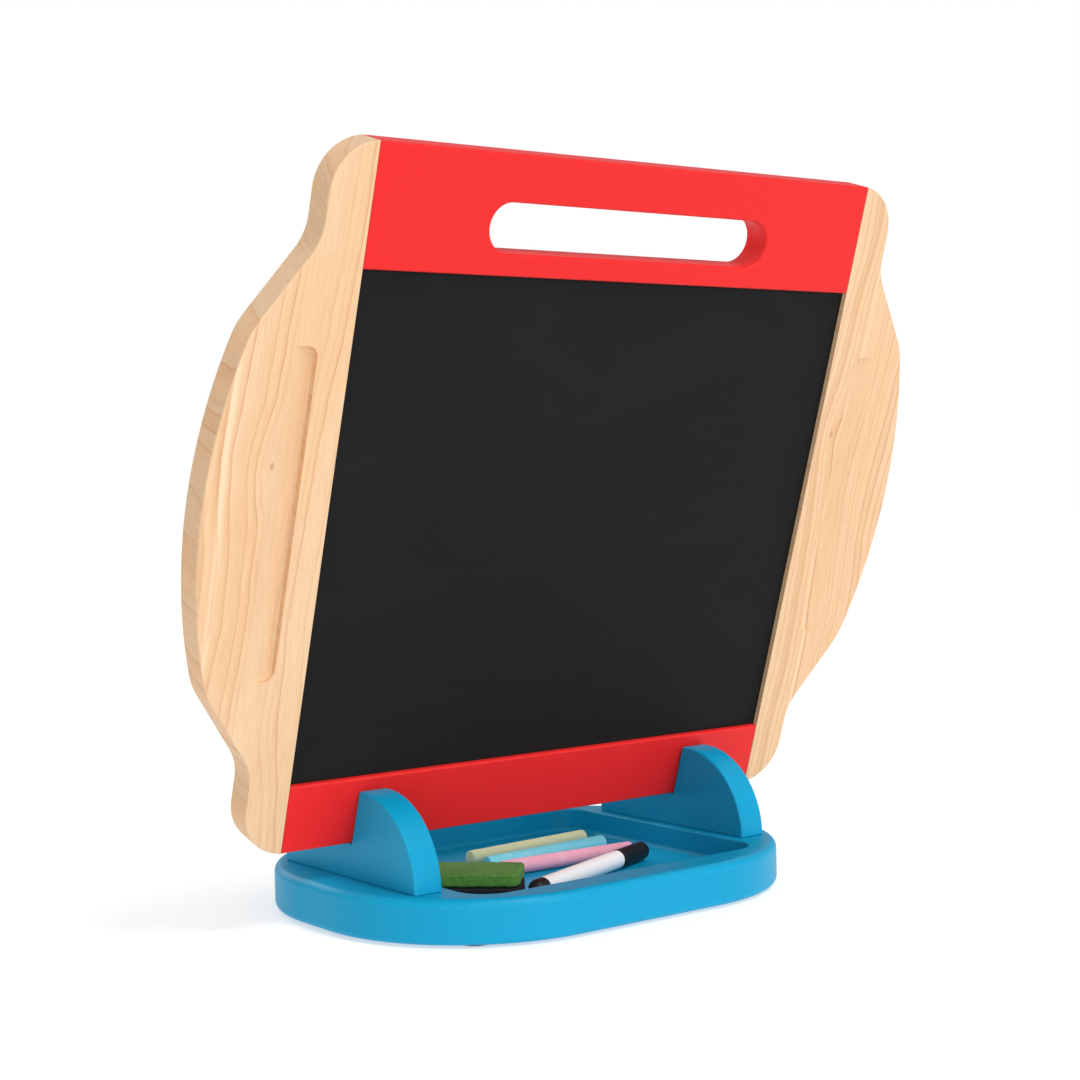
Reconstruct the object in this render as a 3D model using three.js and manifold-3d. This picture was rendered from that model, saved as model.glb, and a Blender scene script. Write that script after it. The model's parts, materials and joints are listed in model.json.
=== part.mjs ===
// Tabletop children's easel: a base with a tray, two notched fins, and a board that stands
// leaning in the notches. Millimetres, +Z up. The origin is at table level, under the middle
// of the base; +X is to the right of a child who stands in front (-Y).
import * as THREE from 'three';
import { mergeVertices } from 'three/addons/utils/BufferGeometryUtils.js';
import Module from 'manifold-3d';

const wasm = await Module();
wasm.setup();

// ---------------------------------------------------------------- driving dimensions
const GAP = 0.3; // between pieces that touch

const BASE = { halfLength: 152, halfDepth: 115, corner: 100, thick: 25, round: 4.5 };
const WELL = { halfLength: 104, halfDepth: 92, corner: 20, deep: 15, fillet: 3 };
const PAD = { radius: 11, proud: 1.5, sunk: 1, x: 100, y: 82 };
const DECK = PAD.proud + BASE.thick; // height of the base's top face

const FIN = { inner: 111, thick: 18, halfLength: 68, high: 50.5, round: 1.2 };
const SCREW = { y: 42, shank: 2.2, head: 4.5, headHigh: 3, length: 44, point: 5, thread: 0.5, pitch: 4 };

const LEAN = THREE.MathUtils.degToRad(17.4); // the top of the board leans forward
const BOARD = { thick: 18, high: 390, halfOpening: 174, footY: -4.4, footZ: 19.8 };
const BOTTOM_RAIL = 40;
const TOP_RAIL = 65;
const SLOT = { halfLength: 99.2, radius: 13.4, up: 350.8 };
const SIDE = { neck: 199.4, corner: 28, bulge: 248.2, bulgeRadius: 310, bulgeHalf: 90 };
const SHOULDER = { radius: 45, hollow: 30, slope: THREE.MathUtils.degToRad(35.5) };
const GRIP = { x: 193.5, bottom: 104, top: 285, deep: 5, rim: 219, rimRadius: 520, corner: 4 };
const PANEL = { sunk: 3.65, thick: 5.2, tongue: 8 };
const DOWEL = { radius: 4, length: 24, heights: [11, 24, 346, 379] };

const CHALK = { radius: 4.65, length: 96, taper: 0.25, chamfer: 0.7 };
const CHALKS = [
  { name: 'chalk_yellow', x: 29.6, y: 41, turn: 4.7, color: 0xe6e2a8 },
  { name: 'chalk_blue', x: 27, y: 19, turn: 4.1, color: 0x8fdcec },
  { name: 'chalk_pink', x: 26, y: -3.6, turn: -3, color: 0xf6adc6 },
];
const ERASER = { length: 57, depth: 36, corner: 5, back: 8.5, felt: 8, x: -67.2, y: -34.5, turn: -43 };
const MARKER = { x: -48.4, y: -66.4, turn: 21, barrel: 5.5, bore: 4.3, cap: 5.85, capBore: 4.9 };
const MARKER_AT = { plugEnd: 11, barrelEnd: 97, neckEnd: 108, nibEnd: 118, capStart: 97.3, capEnd: 130 };

const PAINT_BLUE = { color: 0x16a0d4, roughness: 0.35 };
const PAINT_RED = { color: 0xee3636, roughness: 0.4 };
const MAPLE = { color: 0xeec9a0, roughness: 0.55 };
const BLACKBOARD = { color: 0x29292a, roughness: 0.85 };
const WHITEBOARD = { color: 0xf4f5f5, roughness: 0.15 };
const BEECH = { color: 0xd9b384, roughness: 0.6 };
const STEEL = { color: 0xb9bcc0, roughness: 0.35, metalness: 0.9 };
const RUBBER = { color: 0x2e2e30, roughness: 0.9 };
const BLACK_PLASTIC = { color: 0x1b1b1d, roughness: 0.4 };
const WHITE_PLASTIC = { color: 0xf3f1f1, roughness: 0.3 };
const FELT_GREEN = { color: 0x4f7f31, roughness: 1 };
const FELT_WHITE = { color: 0xe9e7e0, roughness: 1 };
const NIB_BLACK = { color: 0x111114, roughness: 0.9 };

const { cos, sin, tan, sqrt, asin, acos, PI } = Math;

// ---------------------------------------------------------------- solids
function solid(geometry) {
  const bare = geometry.index ? geometry.toNonIndexed() : geometry.clone();
  bare.deleteAttribute('normal');
  bare.deleteAttribute('uv');
  const merged = mergeVertices(bare, 1e-4);
  return new wasm.Manifold(new wasm.Mesh({
    numProp: 3,
    vertProperties: new Float32Array(merged.attributes.position.array),
    triVerts: new Uint32Array(merged.index.array),
  }));
}

function geometryOf(manifold) {
  const { vertProperties, triVerts } = manifold.getMesh();
  const geometry = new THREE.BufferGeometry();
  geometry.setAttribute('position', new THREE.BufferAttribute(vertProperties, 3));
  geometry.setIndex(new THREE.BufferAttribute(triVerts, 1));
  return geometry;
}

function piece(name, geometry, finish) {
  const mesh = new THREE.Mesh(geometry, new THREE.MeshStandardMaterial(finish));
  mesh.name = name;
  return mesh;
}

function prism(shape, from, to, curveSegments = 12) {
  const geometry = new THREE.ExtrudeGeometry(shape, { depth: to - from, bevelEnabled: false, curveSegments });
  return geometry.translate(0, 0, from);
}

// A prism whose rim is rounded at both ends, still reaching from one height to the other.
function roundedPrism(shape, from, to, round, { curveSegments = 12, bevelSegments = 3 } = {}) {
  const geometry = new THREE.ExtrudeGeometry(shape, {
    depth: to - from - 2 * round,
    bevelThickness: round,
    bevelSize: round,
    bevelOffset: -round,
    bevelSegments,
    curveSegments,
  });
  return geometry.translate(0, 0, from + round);
}

function roundedRectangle(halfX, halfY, radius) {
  const shape = new THREE.Shape();
  const x = halfX - radius;
  const y = halfY - radius;
  shape.absarc(x, y, radius, 0, PI / 2);
  shape.absarc(-x, y, radius, PI / 2, PI);
  shape.absarc(-x, -y, radius, PI, 1.5 * PI);
  shape.absarc(x, -y, radius, 1.5 * PI, 2 * PI);
  return shape;
}

function box(sizeX, sizeY, sizeZ, x, y, z) {
  return new THREE.BoxGeometry(sizeX, sizeY, sizeZ).translate(x, y, z);
}

// A round solid about the X axis from [distance along the axis, radius] pairs.
function turned(profile, segments = 20) {
  const points = profile.map(([along, radius]) => new THREE.Vector2(radius, along));
  return new THREE.LatheGeometry(points, segments).rotateZ(-PI / 2);
}

// ---------------------------------------------------------------- base, pads and screws
const screwPlaces = [-1, 1].flatMap((side) => [-1, 1].map((end) => ({
  side, end, x: side * (FIN.inner + FIN.thick / 2), y: end * SCREW.y,
})));

function screwHole(x, y, depth) {
  const r = SCREW.shank + SCREW.thread + GAP;
  const head = SCREW.head + GAP;
  const top = DECK + depth;
  const profile = [[PAD.proud - 1, 0], [PAD.proud - 1, head], [PAD.proud + GAP, head],
    [PAD.proud + SCREW.headHigh + GAP, r], [top, r], [top, 0]];
  return solid(turned(profile, 16).rotateY(-PI / 2).translate(x, y, 0));
}

function baseTray() {
  const outline = roundedRectangle(BASE.halfLength, BASE.halfDepth, BASE.corner);
  const rim = { curveSegments: 14, bevelSegments: 2 };
  let body = solid(roundedPrism(outline, PAD.proud, DECK, BASE.round, rim));
  const well = roundedRectangle(WELL.halfLength, WELL.halfDepth, WELL.corner);
  const floor = DECK - WELL.deep;
  const { fillet } = WELL;
  const hollow = roundedPrism(well, floor, DECK + 2 * fillet, fillet, { curveSegments: 5, bevelSegments: 2 });
  body = body.subtract(solid(hollow));
  for (const sx of [-1, 1]) {
    for (const sy of [-1, 1]) {
      const seat = new THREE.CylinderGeometry(PAD.radius + GAP, PAD.radius + GAP, 2 * (PAD.sunk + GAP), 24);
      body = body.subtract(solid(seat.rotateX(PI / 2).translate(sx * PAD.x, sy * PAD.y, PAD.proud)));
    }
  }
  for (const { x, y } of screwPlaces) body = body.subtract(screwHole(x, y, 1));
  return piece('base_tray', geometryOf(body), PAINT_BLUE);
}

function pads() {
  return [-1, 1].flatMap((sx) => [-1, 1].map((sy) => {
    const edge = PAD.radius - 0.6;
    const top = PAD.proud + PAD.sunk;
    const profile = [[0, 0], [0, edge], [0.6, PAD.radius], [top, PAD.radius], [top, 0]];
    const name = `${sy < 0 ? 'front' : 'rear'}_${sx < 0 ? 'left' : 'right'}_pad`;
    const disc = piece(name, turned(profile).rotateY(-PI / 2), RUBBER);
    disc.position.set(sx * PAD.x, sy * PAD.y, 0);
    return disc;
  }));
}

function screws() {
  const profile = [[0, 0], [0, SCREW.head], [SCREW.headHigh, SCREW.shank]];
  const threadEnd = SCREW.length - SCREW.point;
  for (let at = SCREW.headHigh + 9; at + SCREW.pitch <= threadEnd; at += SCREW.pitch) {
    profile.push([at, SCREW.shank], [at + SCREW.pitch / 3, SCREW.shank + SCREW.thread]);
    profile.push([at + (2 * SCREW.pitch) / 3, SCREW.shank]);
  }
  profile.push([threadEnd, SCREW.shank], [SCREW.length, 0]);
  return screwPlaces.map(({ side, end, x, y }) => {
    const shaft = solid(turned(profile, 8));
    const slotCut = solid(box(2, 1, 2 * SCREW.head, 0, 0, 0)).add(solid(box(2, 2 * SCREW.head, 1, 0, 0, 0)));
    const across = solid(turned([[-1, 0], [-1, 2.6], [1, 1.6], [1, 0]], 12));
    const name = `${end < 0 ? 'front' : 'rear'}_${side < 0 ? 'left' : 'right'}_fin_screw`;
    const mesh = piece(name, geometryOf(shaft.subtract(slotCut.intersect(across))), STEEL);
    mesh.rotation.y = -PI / 2;
    mesh.position.set(x, y, PAD.proud + GAP);
    return mesh;
  });
}

// ---------------------------------------------------------------- fins
// Section of a fin in the plane of Y (across the page) and height above the base's top face.
function finOutline() {
  const { halfLength, high } = FIN;
  const flat = halfLength - high;
  const across = new THREE.Vector2(cos(LEAN), sin(LEAN));
  const up = new THREE.Vector2(-sin(LEAN), cos(LEAN));
  const foot = new THREE.Vector2(BOARD.footY, BOARD.footZ).addScaledVector(up, -GAP);
  const front = foot.clone().addScaledVector(across, -GAP);
  const rear = foot.clone().addScaledVector(across, BOARD.thick + GAP);
  const mouth = (corner) => corner.x - (high - corner.y) * tan(LEAN);
  const shape = new THREE.Shape();
  shape.moveTo(-halfLength, -2 * FIN.round);
  shape.lineTo(halfLength, -2 * FIN.round);
  shape.absarc(flat, 0, high, 0, PI / 2);
  shape.lineTo(mouth(rear), high);
  shape.lineTo(rear.x, rear.y);
  shape.lineTo(front.x, front.y);
  shape.lineTo(mouth(front), high);
  shape.absarc(-flat, 0, high, PI / 2, PI);
  return shape;
}

function fins() {
  return [-1, 1].map((side) => {
    const from = side < 0 ? -(FIN.inner + FIN.thick) : FIN.inner;
    const fine = { curveSegments: 14, bevelSegments: 2 };
    const plate = roundedPrism(finOutline(), from, from + FIN.thick, FIN.round, fine);
    plate.rotateX(PI / 2).rotateZ(PI / 2).translate(0, 0, DECK);
    const flush = solid(box(2 * BASE.halfLength, 2 * BASE.halfDepth, 100, 0, 0, DECK + GAP + 50));
    let body = solid(plate).intersect(flush);
    for (const { x, y } of screwPlaces) {
      body = body.subtract(screwHole(x, y, SCREW.length - BASE.thick + 1));
    }
    return piece(side < 0 ? 'left_fin' : 'right_fin', geometryOf(body), PAINT_BLUE);
  });
}

// ---------------------------------------------------------------- board
// The board is drawn flat: X across, Y up the board, Z out of its front face, which is at 0.
function sideRailOutline() {
  const middle = BOARD.high / 2;
  const { neck, corner, bulge, bulgeRadius, bulgeHalf } = SIDE;
  const shape = new THREE.Shape();
  const inner = BOARD.halfOpening + GAP / 2;
  const bulgeAngle = asin(bulgeHalf / bulgeRadius);
  const { slope, hollow, radius } = SHOULDER;
  const shoulder = {
    x: bulge - bulgeRadius + (bulgeRadius - radius) * cos(bulgeAngle),
    y: (bulgeRadius - radius) * sin(bulgeAngle),
  };
  const hollowX = neck + hollow;
  const straight = shoulder.x - hollowX + (radius + hollow) * cos(slope);
  const hollowY = shoulder.y + (radius + hollow) * sin(slope) + straight / tan(slope);
  const meet = acos((inner - (neck - corner)) / corner);
  shape.moveTo(inner, middle);
  shape.absarc(neck - corner, corner, corner, -meet, 0);
  shape.absarc(hollowX, middle - hollowY, hollow, PI, PI - slope, true);
  shape.absarc(shoulder.x, middle - shoulder.y, radius, -slope, -bulgeAngle);
  shape.absarc(bulge - bulgeRadius, middle, bulgeRadius, -bulgeAngle, bulgeAngle);
  shape.absarc(shoulder.x, middle + shoulder.y, radius, bulgeAngle, slope);
  shape.absarc(hollowX, middle + hollowY, hollow, PI + slope, PI, true);
  shape.absarc(neck - corner, BOARD.high - corner, corner, 0, meet);
  return shape;
}

// The finger grip: a straight wall next to the panel, and a floor that sweeps up to the face.
function gripCutter() {
  const { x, bottom, top, deep, rim, rimRadius, corner } = GRIP;
  const centre = rim - rimRadius;
  const reach = rim - x;
  const steps = 6;
  const profile = [new THREE.Vector2(0, 2), new THREE.Vector2(0, -deep)];
  for (let i = 0; i <= steps; i += 1) {
    const share = i / steps;
    profile.push(new THREE.Vector2(rimRadius - reach * (1 - share), (-deep * (1 + cos(PI * share))) / 2));
  }
  profile.push(new THREE.Vector2(rimRadius, 2), new THREE.Vector2(0, 2));
  const spread = 0.5;
  const bowl = new THREE.LatheGeometry(profile, 120).rotateX(PI / 2).translate(centre, BOARD.high / 2, 0);
  const plan = roundedRectangle((rimRadius * spread) / 2, (top - bottom) / 2, corner);
  const window = prism(plan, -deep - 1, 3, 4).translate(x + (rimRadius * spread) / 2, (top + bottom) / 2, 0);
  return solid(bowl).intersect(solid(window));
}

function panelPocket() {
  const halfX = BOARD.halfOpening + PANEL.tongue + GAP;
  const from = BOTTOM_RAIL - PANEL.tongue - GAP;
  const to = BOARD.high - TOP_RAIL + PANEL.tongue + GAP;
  const deep = BOARD.thick - 2 * PANEL.sunk + 2 * GAP;
  return solid(box(2 * halfX, to - from, deep, 0, (from + to) / 2, -BOARD.thick / 2));
}

function dowelHoles() {
  let holes = null;
  for (const { x, y } of dowelPlaces) {
    const radius = DOWEL.radius + GAP;
    const hole = new THREE.CylinderGeometry(radius, radius, DOWEL.length + 4 * GAP, 12);
    const cut = solid(hole.rotateZ(PI / 2).translate(x, y, -BOARD.thick / 2));
    holes = holes ? holes.add(cut) : cut;
  }
  return holes;
}

const dowelPlaces = [-1, 1].flatMap((side) => DOWEL.heights.map((y, i) => ({
  x: side * BOARD.halfOpening, y, name: `${side < 0 ? 'left' : 'right'}_dowel_${i + 1}`,
})));

function dowels() {
  const half = DOWEL.length / 2;
  const ends = [[-half, 0], [-half, DOWEL.radius - 1], [1 - half, DOWEL.radius]];
  const profile = [...ends, ...ends.map(([along, radius]) => [-along, radius]).reverse()];
  return dowelPlaces.map(({ x, y, name }) => {
    const peg = piece(name, turned(profile, 12), BEECH);
    peg.position.set(x, y, -BOARD.thick / 2);
    return peg;
  });
}

function redRail(name, from, to, slot) {
  const half = BOARD.halfOpening - GAP / 2;
  const shape = new THREE.Shape();
  shape.moveTo(-half, from);
  shape.lineTo(half, from);
  shape.lineTo(half, to);
  shape.lineTo(-half, to);
  let body = solid(prism(shape, -BOARD.thick, 0));
  body = body.subtract(panelPocket()).subtract(dowelHoles());
  if (slot) {
    const hole = roundedRectangle(SLOT.halfLength, SLOT.radius, SLOT.radius);
    body = body.subtract(solid(prism(hole, -BOARD.thick - 1, 1, 16).translate(0, SLOT.up, 0)));
  }
  return piece(name, geometryOf(body), PAINT_RED);
}

function sideRails() {
  const grip = gripCutter();
  const farGrip = grip.mirror([0, 0, 1]).translate([0, 0, -BOARD.thick]);
  const rail = solid(prism(sideRailOutline(), -BOARD.thick, 0, 9));
  const right = rail.subtract(grip).subtract(farGrip).subtract(panelPocket()).subtract(dowelHoles());
  return [
    piece('left_side_rail', geometryOf(right.mirror([1, 0, 0])), MAPLE),
    piece('right_side_rail', geometryOf(right), MAPLE),
  ];
}

function panels() {
  const width = 2 * (BOARD.halfOpening + PANEL.tongue);
  const from = BOTTOM_RAIL - PANEL.tongue;
  const to = BOARD.high - TOP_RAIL + PANEL.tongue;
  const sheet = (name, z, finish) => {
    const mesh = piece(name, new THREE.BoxGeometry(width, to - from, PANEL.thick), finish);
    mesh.position.set(0, (from + to) / 2, z);
    return mesh;
  };
  const front = -PANEL.sunk - PANEL.thick / 2;
  return [
    sheet('chalkboard_panel', front, BLACKBOARD),
    sheet('whiteboard_panel', -BOARD.thick - front, WHITEBOARD),
  ];
}

function board() {
  const group = new THREE.Group();
  group.position.set(0, BOARD.footY, DECK + BOARD.footZ);
  group.rotation.x = PI / 2 + LEAN;
  group.add(redRail('top_rail', BOARD.high - TOP_RAIL, BOARD.high, true));
  group.add(redRail('bottom_rail', 0, BOTTOM_RAIL, false));
  group.add(...sideRails(), ...panels(), ...dowels());
  return group;
}

// ---------------------------------------------------------------- things in the tray
const TRAY_FLOOR = DECK - WELL.deep + GAP;

function lying(meshes, { x, y, turn }, height) {
  const group = new THREE.Group();
  group.position.set(x, y, height);
  group.rotation.z = THREE.MathUtils.degToRad(turn);
  group.add(...meshes);
  return group;
}

function chalks() {
  const half = CHALK.length / 2;
  const { radius, taper, chamfer } = CHALK;
  const thin = radius - taper;
  const profile = [[-half, 0], [-half, radius - chamfer], [chamfer - half, radius],
    [half - chamfer, thin], [half, thin - chamfer], [half, 0]];
  return CHALKS.map(({ name, color, ...place }) => (
    lying([piece(name, turned(profile, 20), { color, roughness: 0.95 })], place, TRAY_FLOOR + radius)
  ));
}

function eraser() {
  const plan = roundedRectangle(ERASER.length / 2, ERASER.depth / 2, ERASER.corner);
  const from = ERASER.back + GAP;
  const back = roundedPrism(plan, 0, ERASER.back, 1, { curveSegments: 3, bevelSegments: 1 });
  const felt = roundedPrism(plan, from, from + ERASER.felt, 2, { curveSegments: 3, bevelSegments: 2 });
  const pieces = [piece('eraser_back', back, BLACK_PLASTIC), piece('eraser_felt', felt, FELT_GREEN)];
  return lying(pieces, ERASER, TRAY_FLOOR);
}

function marker() {
  const { barrel, bore, cap, capBore } = MARKER;
  const { plugEnd, barrelEnd, neckEnd, nibEnd, capStart, capEnd } = MARKER_AT;
  const neck = 3.9;
  const nib = 2.2;
  const wall = 1.2;
  const plugProfile = [[0, 0], [0.6, 2.2], [2, 4], [4, 5.2], [6, barrel], [plugEnd, barrel],
    [plugEnd, bore - GAP], [plugEnd + 8, bore - GAP], [plugEnd + 8, 0]];
  const barrelProfile = [[plugEnd + GAP, bore], [plugEnd + GAP, barrel], [barrelEnd - 0.5, barrel],
    [barrelEnd, barrel - 0.5], [barrelEnd, neck], [neckEnd, neck - 0.4], [neckEnd, nib + GAP],
    [barrelEnd - 4, nib + GAP], [barrelEnd - 6, bore], [plugEnd + GAP, bore]];
  const coreEnd = barrelEnd - 8;
  const coreStart = plugEnd + 8 + GAP;
  const coreProfile = [[coreStart, 0], [coreStart, bore - GAP], [coreEnd, bore - GAP], [coreEnd, 0]];
  const nibStart = coreEnd + GAP;
  const nibProfile = [[nibStart, 0], [nibStart, nib], [nibEnd - 3, nib], [nibEnd, 0.8], [nibEnd, 0]];
  const capOuter = [[capStart, capBore], [capStart, cap - 0.3], [capStart + 0.5, cap],
    [capEnd - 5, cap - 0.2], [capEnd - 2, cap - 1], [capEnd - 0.5, cap - 2.8], [capEnd, 0]];
  const capInner = [[capEnd - wall, 0], [capEnd - 4, capBore - 1], [capEnd - 8, capBore],
    [capStart, capBore]];
  return lying([
    piece('marker_end_plug', turned(plugProfile), BLACK_PLASTIC),
    piece('marker_barrel', turned(barrelProfile), WHITE_PLASTIC),
    piece('marker_ink_core', turned(coreProfile, 16), FELT_WHITE),
    piece('marker_nib', turned(nibProfile, 16), NIB_BLACK),
    piece('marker_cap', turned([...capOuter, ...capInner]), BLACK_PLASTIC),
  ], MARKER, TRAY_FLOOR + cap);
}

// ---------------------------------------------------------------- the whole easel
const easel = new THREE.Group();
easel.add(baseTray(), ...pads(), ...screws(), ...fins(), board());
easel.add(...chalks(), eraser(), marker());

export default easel;
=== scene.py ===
"""The looks of a tabletop children's easel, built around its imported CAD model.

A blue tray base carries two notched fins. A board of red rails, maple side rails and a chalkboard
leans in the notches, and three chalks, an eraser and a marker lie in the tray.
Lengths are in metres, +Z is up, and a child stands in front of the easel, on its -Y side.
"""
import json
import logging
import math
import random
from dataclasses import dataclass
from enum import Enum
from functools import cached_property
from typing import Any, Callable, Iterable

import bmesh
import bpy
from bmesh.types import BMEdge, BMVert
from mathutils import Matrix, Vector, noise

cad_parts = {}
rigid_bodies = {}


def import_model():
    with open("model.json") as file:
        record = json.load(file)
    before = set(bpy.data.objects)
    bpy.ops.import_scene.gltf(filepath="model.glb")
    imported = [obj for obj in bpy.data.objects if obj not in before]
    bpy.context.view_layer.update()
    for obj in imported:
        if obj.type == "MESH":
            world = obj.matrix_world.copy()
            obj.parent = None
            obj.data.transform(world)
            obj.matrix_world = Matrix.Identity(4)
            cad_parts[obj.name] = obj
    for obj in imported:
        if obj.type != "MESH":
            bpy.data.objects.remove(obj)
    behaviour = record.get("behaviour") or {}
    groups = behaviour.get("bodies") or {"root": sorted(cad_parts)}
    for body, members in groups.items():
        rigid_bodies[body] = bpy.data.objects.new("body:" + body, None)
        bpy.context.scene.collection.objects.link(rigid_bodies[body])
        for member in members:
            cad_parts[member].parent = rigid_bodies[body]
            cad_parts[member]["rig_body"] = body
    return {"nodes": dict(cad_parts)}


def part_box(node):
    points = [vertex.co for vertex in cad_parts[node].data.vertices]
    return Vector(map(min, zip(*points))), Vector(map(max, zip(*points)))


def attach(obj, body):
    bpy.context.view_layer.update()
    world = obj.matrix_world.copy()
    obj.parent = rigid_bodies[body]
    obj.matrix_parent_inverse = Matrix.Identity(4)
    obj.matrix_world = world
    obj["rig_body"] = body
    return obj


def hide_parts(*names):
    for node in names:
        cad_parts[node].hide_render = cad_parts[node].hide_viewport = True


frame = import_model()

LOG = logging.getLogger("easel")
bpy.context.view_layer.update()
MM = 0.001
GAP = 0.3 * MM  # between pieces that touch
TINY = 1e-6  # nearer than this counts as the same place
WORN = "worn"  # face attribute: 1 on the rounded rims, where paint and oil are thinnest
SHARP = math.radians(35)  # an edge that turns more than this is sharp
SQUARE = math.radians(60)  # and more than this is a plate's own edge
Colour = tuple[float, float, float]
Test = Callable[[Vector], bool]


class Side(Enum):
    """The two ends of the easel, by the sign of X."""

    LEFT = -1
    RIGHT = 1


class Turn(Enum):
    """Ways to stand a shape that was drawn flat in XY, or turned about X."""

    UPRIGHT = Matrix.Rotation(-math.pi / 2, 4, "Y")  # the X axis becomes the Z axis
    ACROSS = Matrix(((0, 0, 1, 0), (1, 0, 0, 0), (0, 1, 0, 0), (0, 0, 0, 1)))  # drawn in YZ, thick along X


# ------------------------------------------------------------------------------ shaping
def only(kind: type, geom: Iterable[Any]) -> list[Any]:
    """The elements of one kind among an operator's results."""
    return [e for e in geom if isinstance(e, kind)]


def link(name: str, data: bpy.types.ID) -> bpy.types.Object:
    """A new object in the scene."""
    made = bpy.data.objects.new(name, data)
    bpy.context.scene.collection.objects.link(made)
    return made


class Form:
    """A mesh on its way to becoming a piece, with the few moves that these pieces need."""

    def __init__(self) -> None:
        """Starts with nothing in it."""
        self.bm = bmesh.new()
        self.bm.faces.layers.float.new(WORN)

    def rectangle(self, half_x: float, half_y: float, z: float, corner: float = 0.0,
                  steps: int = 8) -> list[BMEdge]:
        """Adds a flat rectangle with round corners.

        Args:
            half_x: Half its length along X.
            half_y: Half its length along Y.
            z: Its height.
            corner: The radius of its corners.
            steps: How many steps a corner's arc takes.

        Returns:
            The edges of its outline. The face they bound is the newest one.
        """
        grid = bmesh.ops.create_grid(self.bm, x_segments=1, y_segments=1, size=1)["verts"]
        bmesh.ops.scale(self.bm, vec=(half_x, half_y, 1), verts=grid)
        bmesh.ops.translate(self.bm, vec=(0, 0, z), verts=grid)
        face = grid[0].link_faces[0]
        if corner:
            face = self.bevel(grid, corner, steps, "VERTICES")["verts"][0].link_faces[0]
        return list(face.edges)

    def thicken(self, height: float) -> None:
        """Extrudes the flat shape upwards into a plate."""
        made = bmesh.ops.extrude_face_region(self.bm, geom=self.bm.faces[:], use_keep_orig=True)["geom"]
        bmesh.ops.translate(self.bm, vec=(0, 0, height), verts=only(BMVert, made))
        self.turn_out()

    def spun(self, profile: Iterable[tuple[float, float]], steps: int = 48) -> "Form":
        """Turns a profile about the X axis, as on a lathe.

        Args:
            profile: (distance along the axis, radius) of each corner, from one end to the other.
            steps: How many steps a full turn takes.

        Returns:
            This form.
        """
        start, *rest = profile
        pen = Pen(self, start[0], start[1])
        for along, radius in rest:
            pen.line(along, radius)
        chain = [*pen.verts, *{e for v in pen.verts for e in v.link_edges}]
        bmesh.ops.spin(self.bm, geom=chain, cent=(0, 0, 0), axis=(1, 0, 0), angle=2 * math.pi,
                       steps=steps, use_merge=True)
        bmesh.ops.remove_doubles(self.bm, verts=self.bm.verts, dist=1e-7)
        bmesh.ops.delete(self.bm, geom=[e for e in self.bm.edges if not e.link_faces], context="EDGES")
        self.turn_out()
        return self

    def turn_out(self) -> None:
        """Turns every face outwards."""
        bmesh.ops.recalc_face_normals(self.bm, faces=self.bm.faces)

    def edges(self, test: Test, angle: float = SHARP) -> list[BMEdge]:
        """The sharp edges whose two ends both pass a test."""
        return [e for e in self.bm.edges if len(e.link_faces) == 2 and e.calc_face_angle(0) > angle
                and all(test(v.co) for v in e.verts)]

    def bevel(self, geom: list[Any], radius: float, steps: int, affect: str) -> dict[str, list[Any]]:
        """Rounds corners or edges with an arc.

        Args:
            geom: The corners or edges.
            radius: How far the arc reaches on each side.
            steps: How many steps it takes.
            affect: "VERTICES" for a flat shape's corners, "EDGES" for a solid's edges.

        Returns:
            The new elements, by kind.
        """
        return bmesh.ops.bevel(self.bm, geom=geom, offset=radius, offset_type="OFFSET", segments=steps,
                               profile=0.5, affect=affect, clamp_overlap=False, material=-1)

    def round_over(self, edges: list[BMEdge], radius: float, steps: int = 4, worn: bool = True) -> None:
        """Rounds edges over.

        Args:
            edges: The edges to round.
            radius: How far the rounding reaches on each side.
            steps: How many steps the arc takes.
            worn: Whether the finish is thinner there.
        """
        made = self.bevel(edges, radius, steps, "EDGES")["faces"]
        layer = self.bm.faces.layers.float[WORN]
        for face in made:
            face[layer] = float(worn)

    def split(self, point: Vector, outwards: Vector, clear: bool = False) -> list[BMEdge]:
        """Splits the faces that a plane crosses.

        Args:
            point: A point on the plane.
            outwards: The plane's normal.
            clear: Whether what lies beyond the plane goes.

        Returns:
            The edges on the plane.
        """
        geom = [*self.bm.verts, *self.bm.edges, *self.bm.faces]
        made = bmesh.ops.bisect_plane(self.bm, geom=geom, plane_co=point, plane_no=outwards,
                                      clear_outer=clear, dist=1e-7)
        return only(BMEdge, made["geom_cut"])

    def cut_off(self, point: Vector, outwards: Vector) -> None:
        """Cuts away what lies beyond a plane and closes the cut."""
        bmesh.ops.contextual_create(self.bm, geom=self.split(point, outwards, clear=True))
        self.turn_out()

    def carve(self, *tools: "Form", common: bool = False) -> None:
        """Takes the room of other forms out of this one, and closes the slits that are left where cuts meet.

        Args:
            tools: The forms whose room is taken out. They are used up.
            common: Whether to keep only the room that both share instead.
        """
        for tool in tools:
            body, knife = self.loose("body"), tool.loose("knife")
            cut = body.modifiers.new("carve", "BOOLEAN")
            cut.object = knife
            cut.operation = "INTERSECT" if common else "DIFFERENCE"
            cut.solver = "EXACT"
            bpy.context.view_layer.update()
            shaped = body.evaluated_get(bpy.context.evaluated_depsgraph_get())
            self.bm.clear()
            self.bm.from_mesh(shaped.to_mesh())
            for spent in (body, knife):
                mesh = spent.data
                bpy.data.objects.remove(spent)
                bpy.data.meshes.remove(mesh)
        bmesh.ops.dissolve_degenerate(self.bm, dist=1e-7, edges=self.bm.edges)
        slits = [e for e in self.bm.edges if len(e.link_faces) == 1]
        bmesh.ops.edgeloop_fill(self.bm, edges=slits)

    def loose(self, name: str) -> bpy.types.Object:
        """This form as an object of its own in the scene."""
        mesh = bpy.data.meshes.new(name)
        self.bm.to_mesh(mesh)
        return link(name, mesh)

    def place(self, matrix: Matrix) -> "Form":
        """Moves the whole form."""
        bmesh.ops.transform(self.bm, matrix=matrix, verts=self.bm.verts)
        return self

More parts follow.
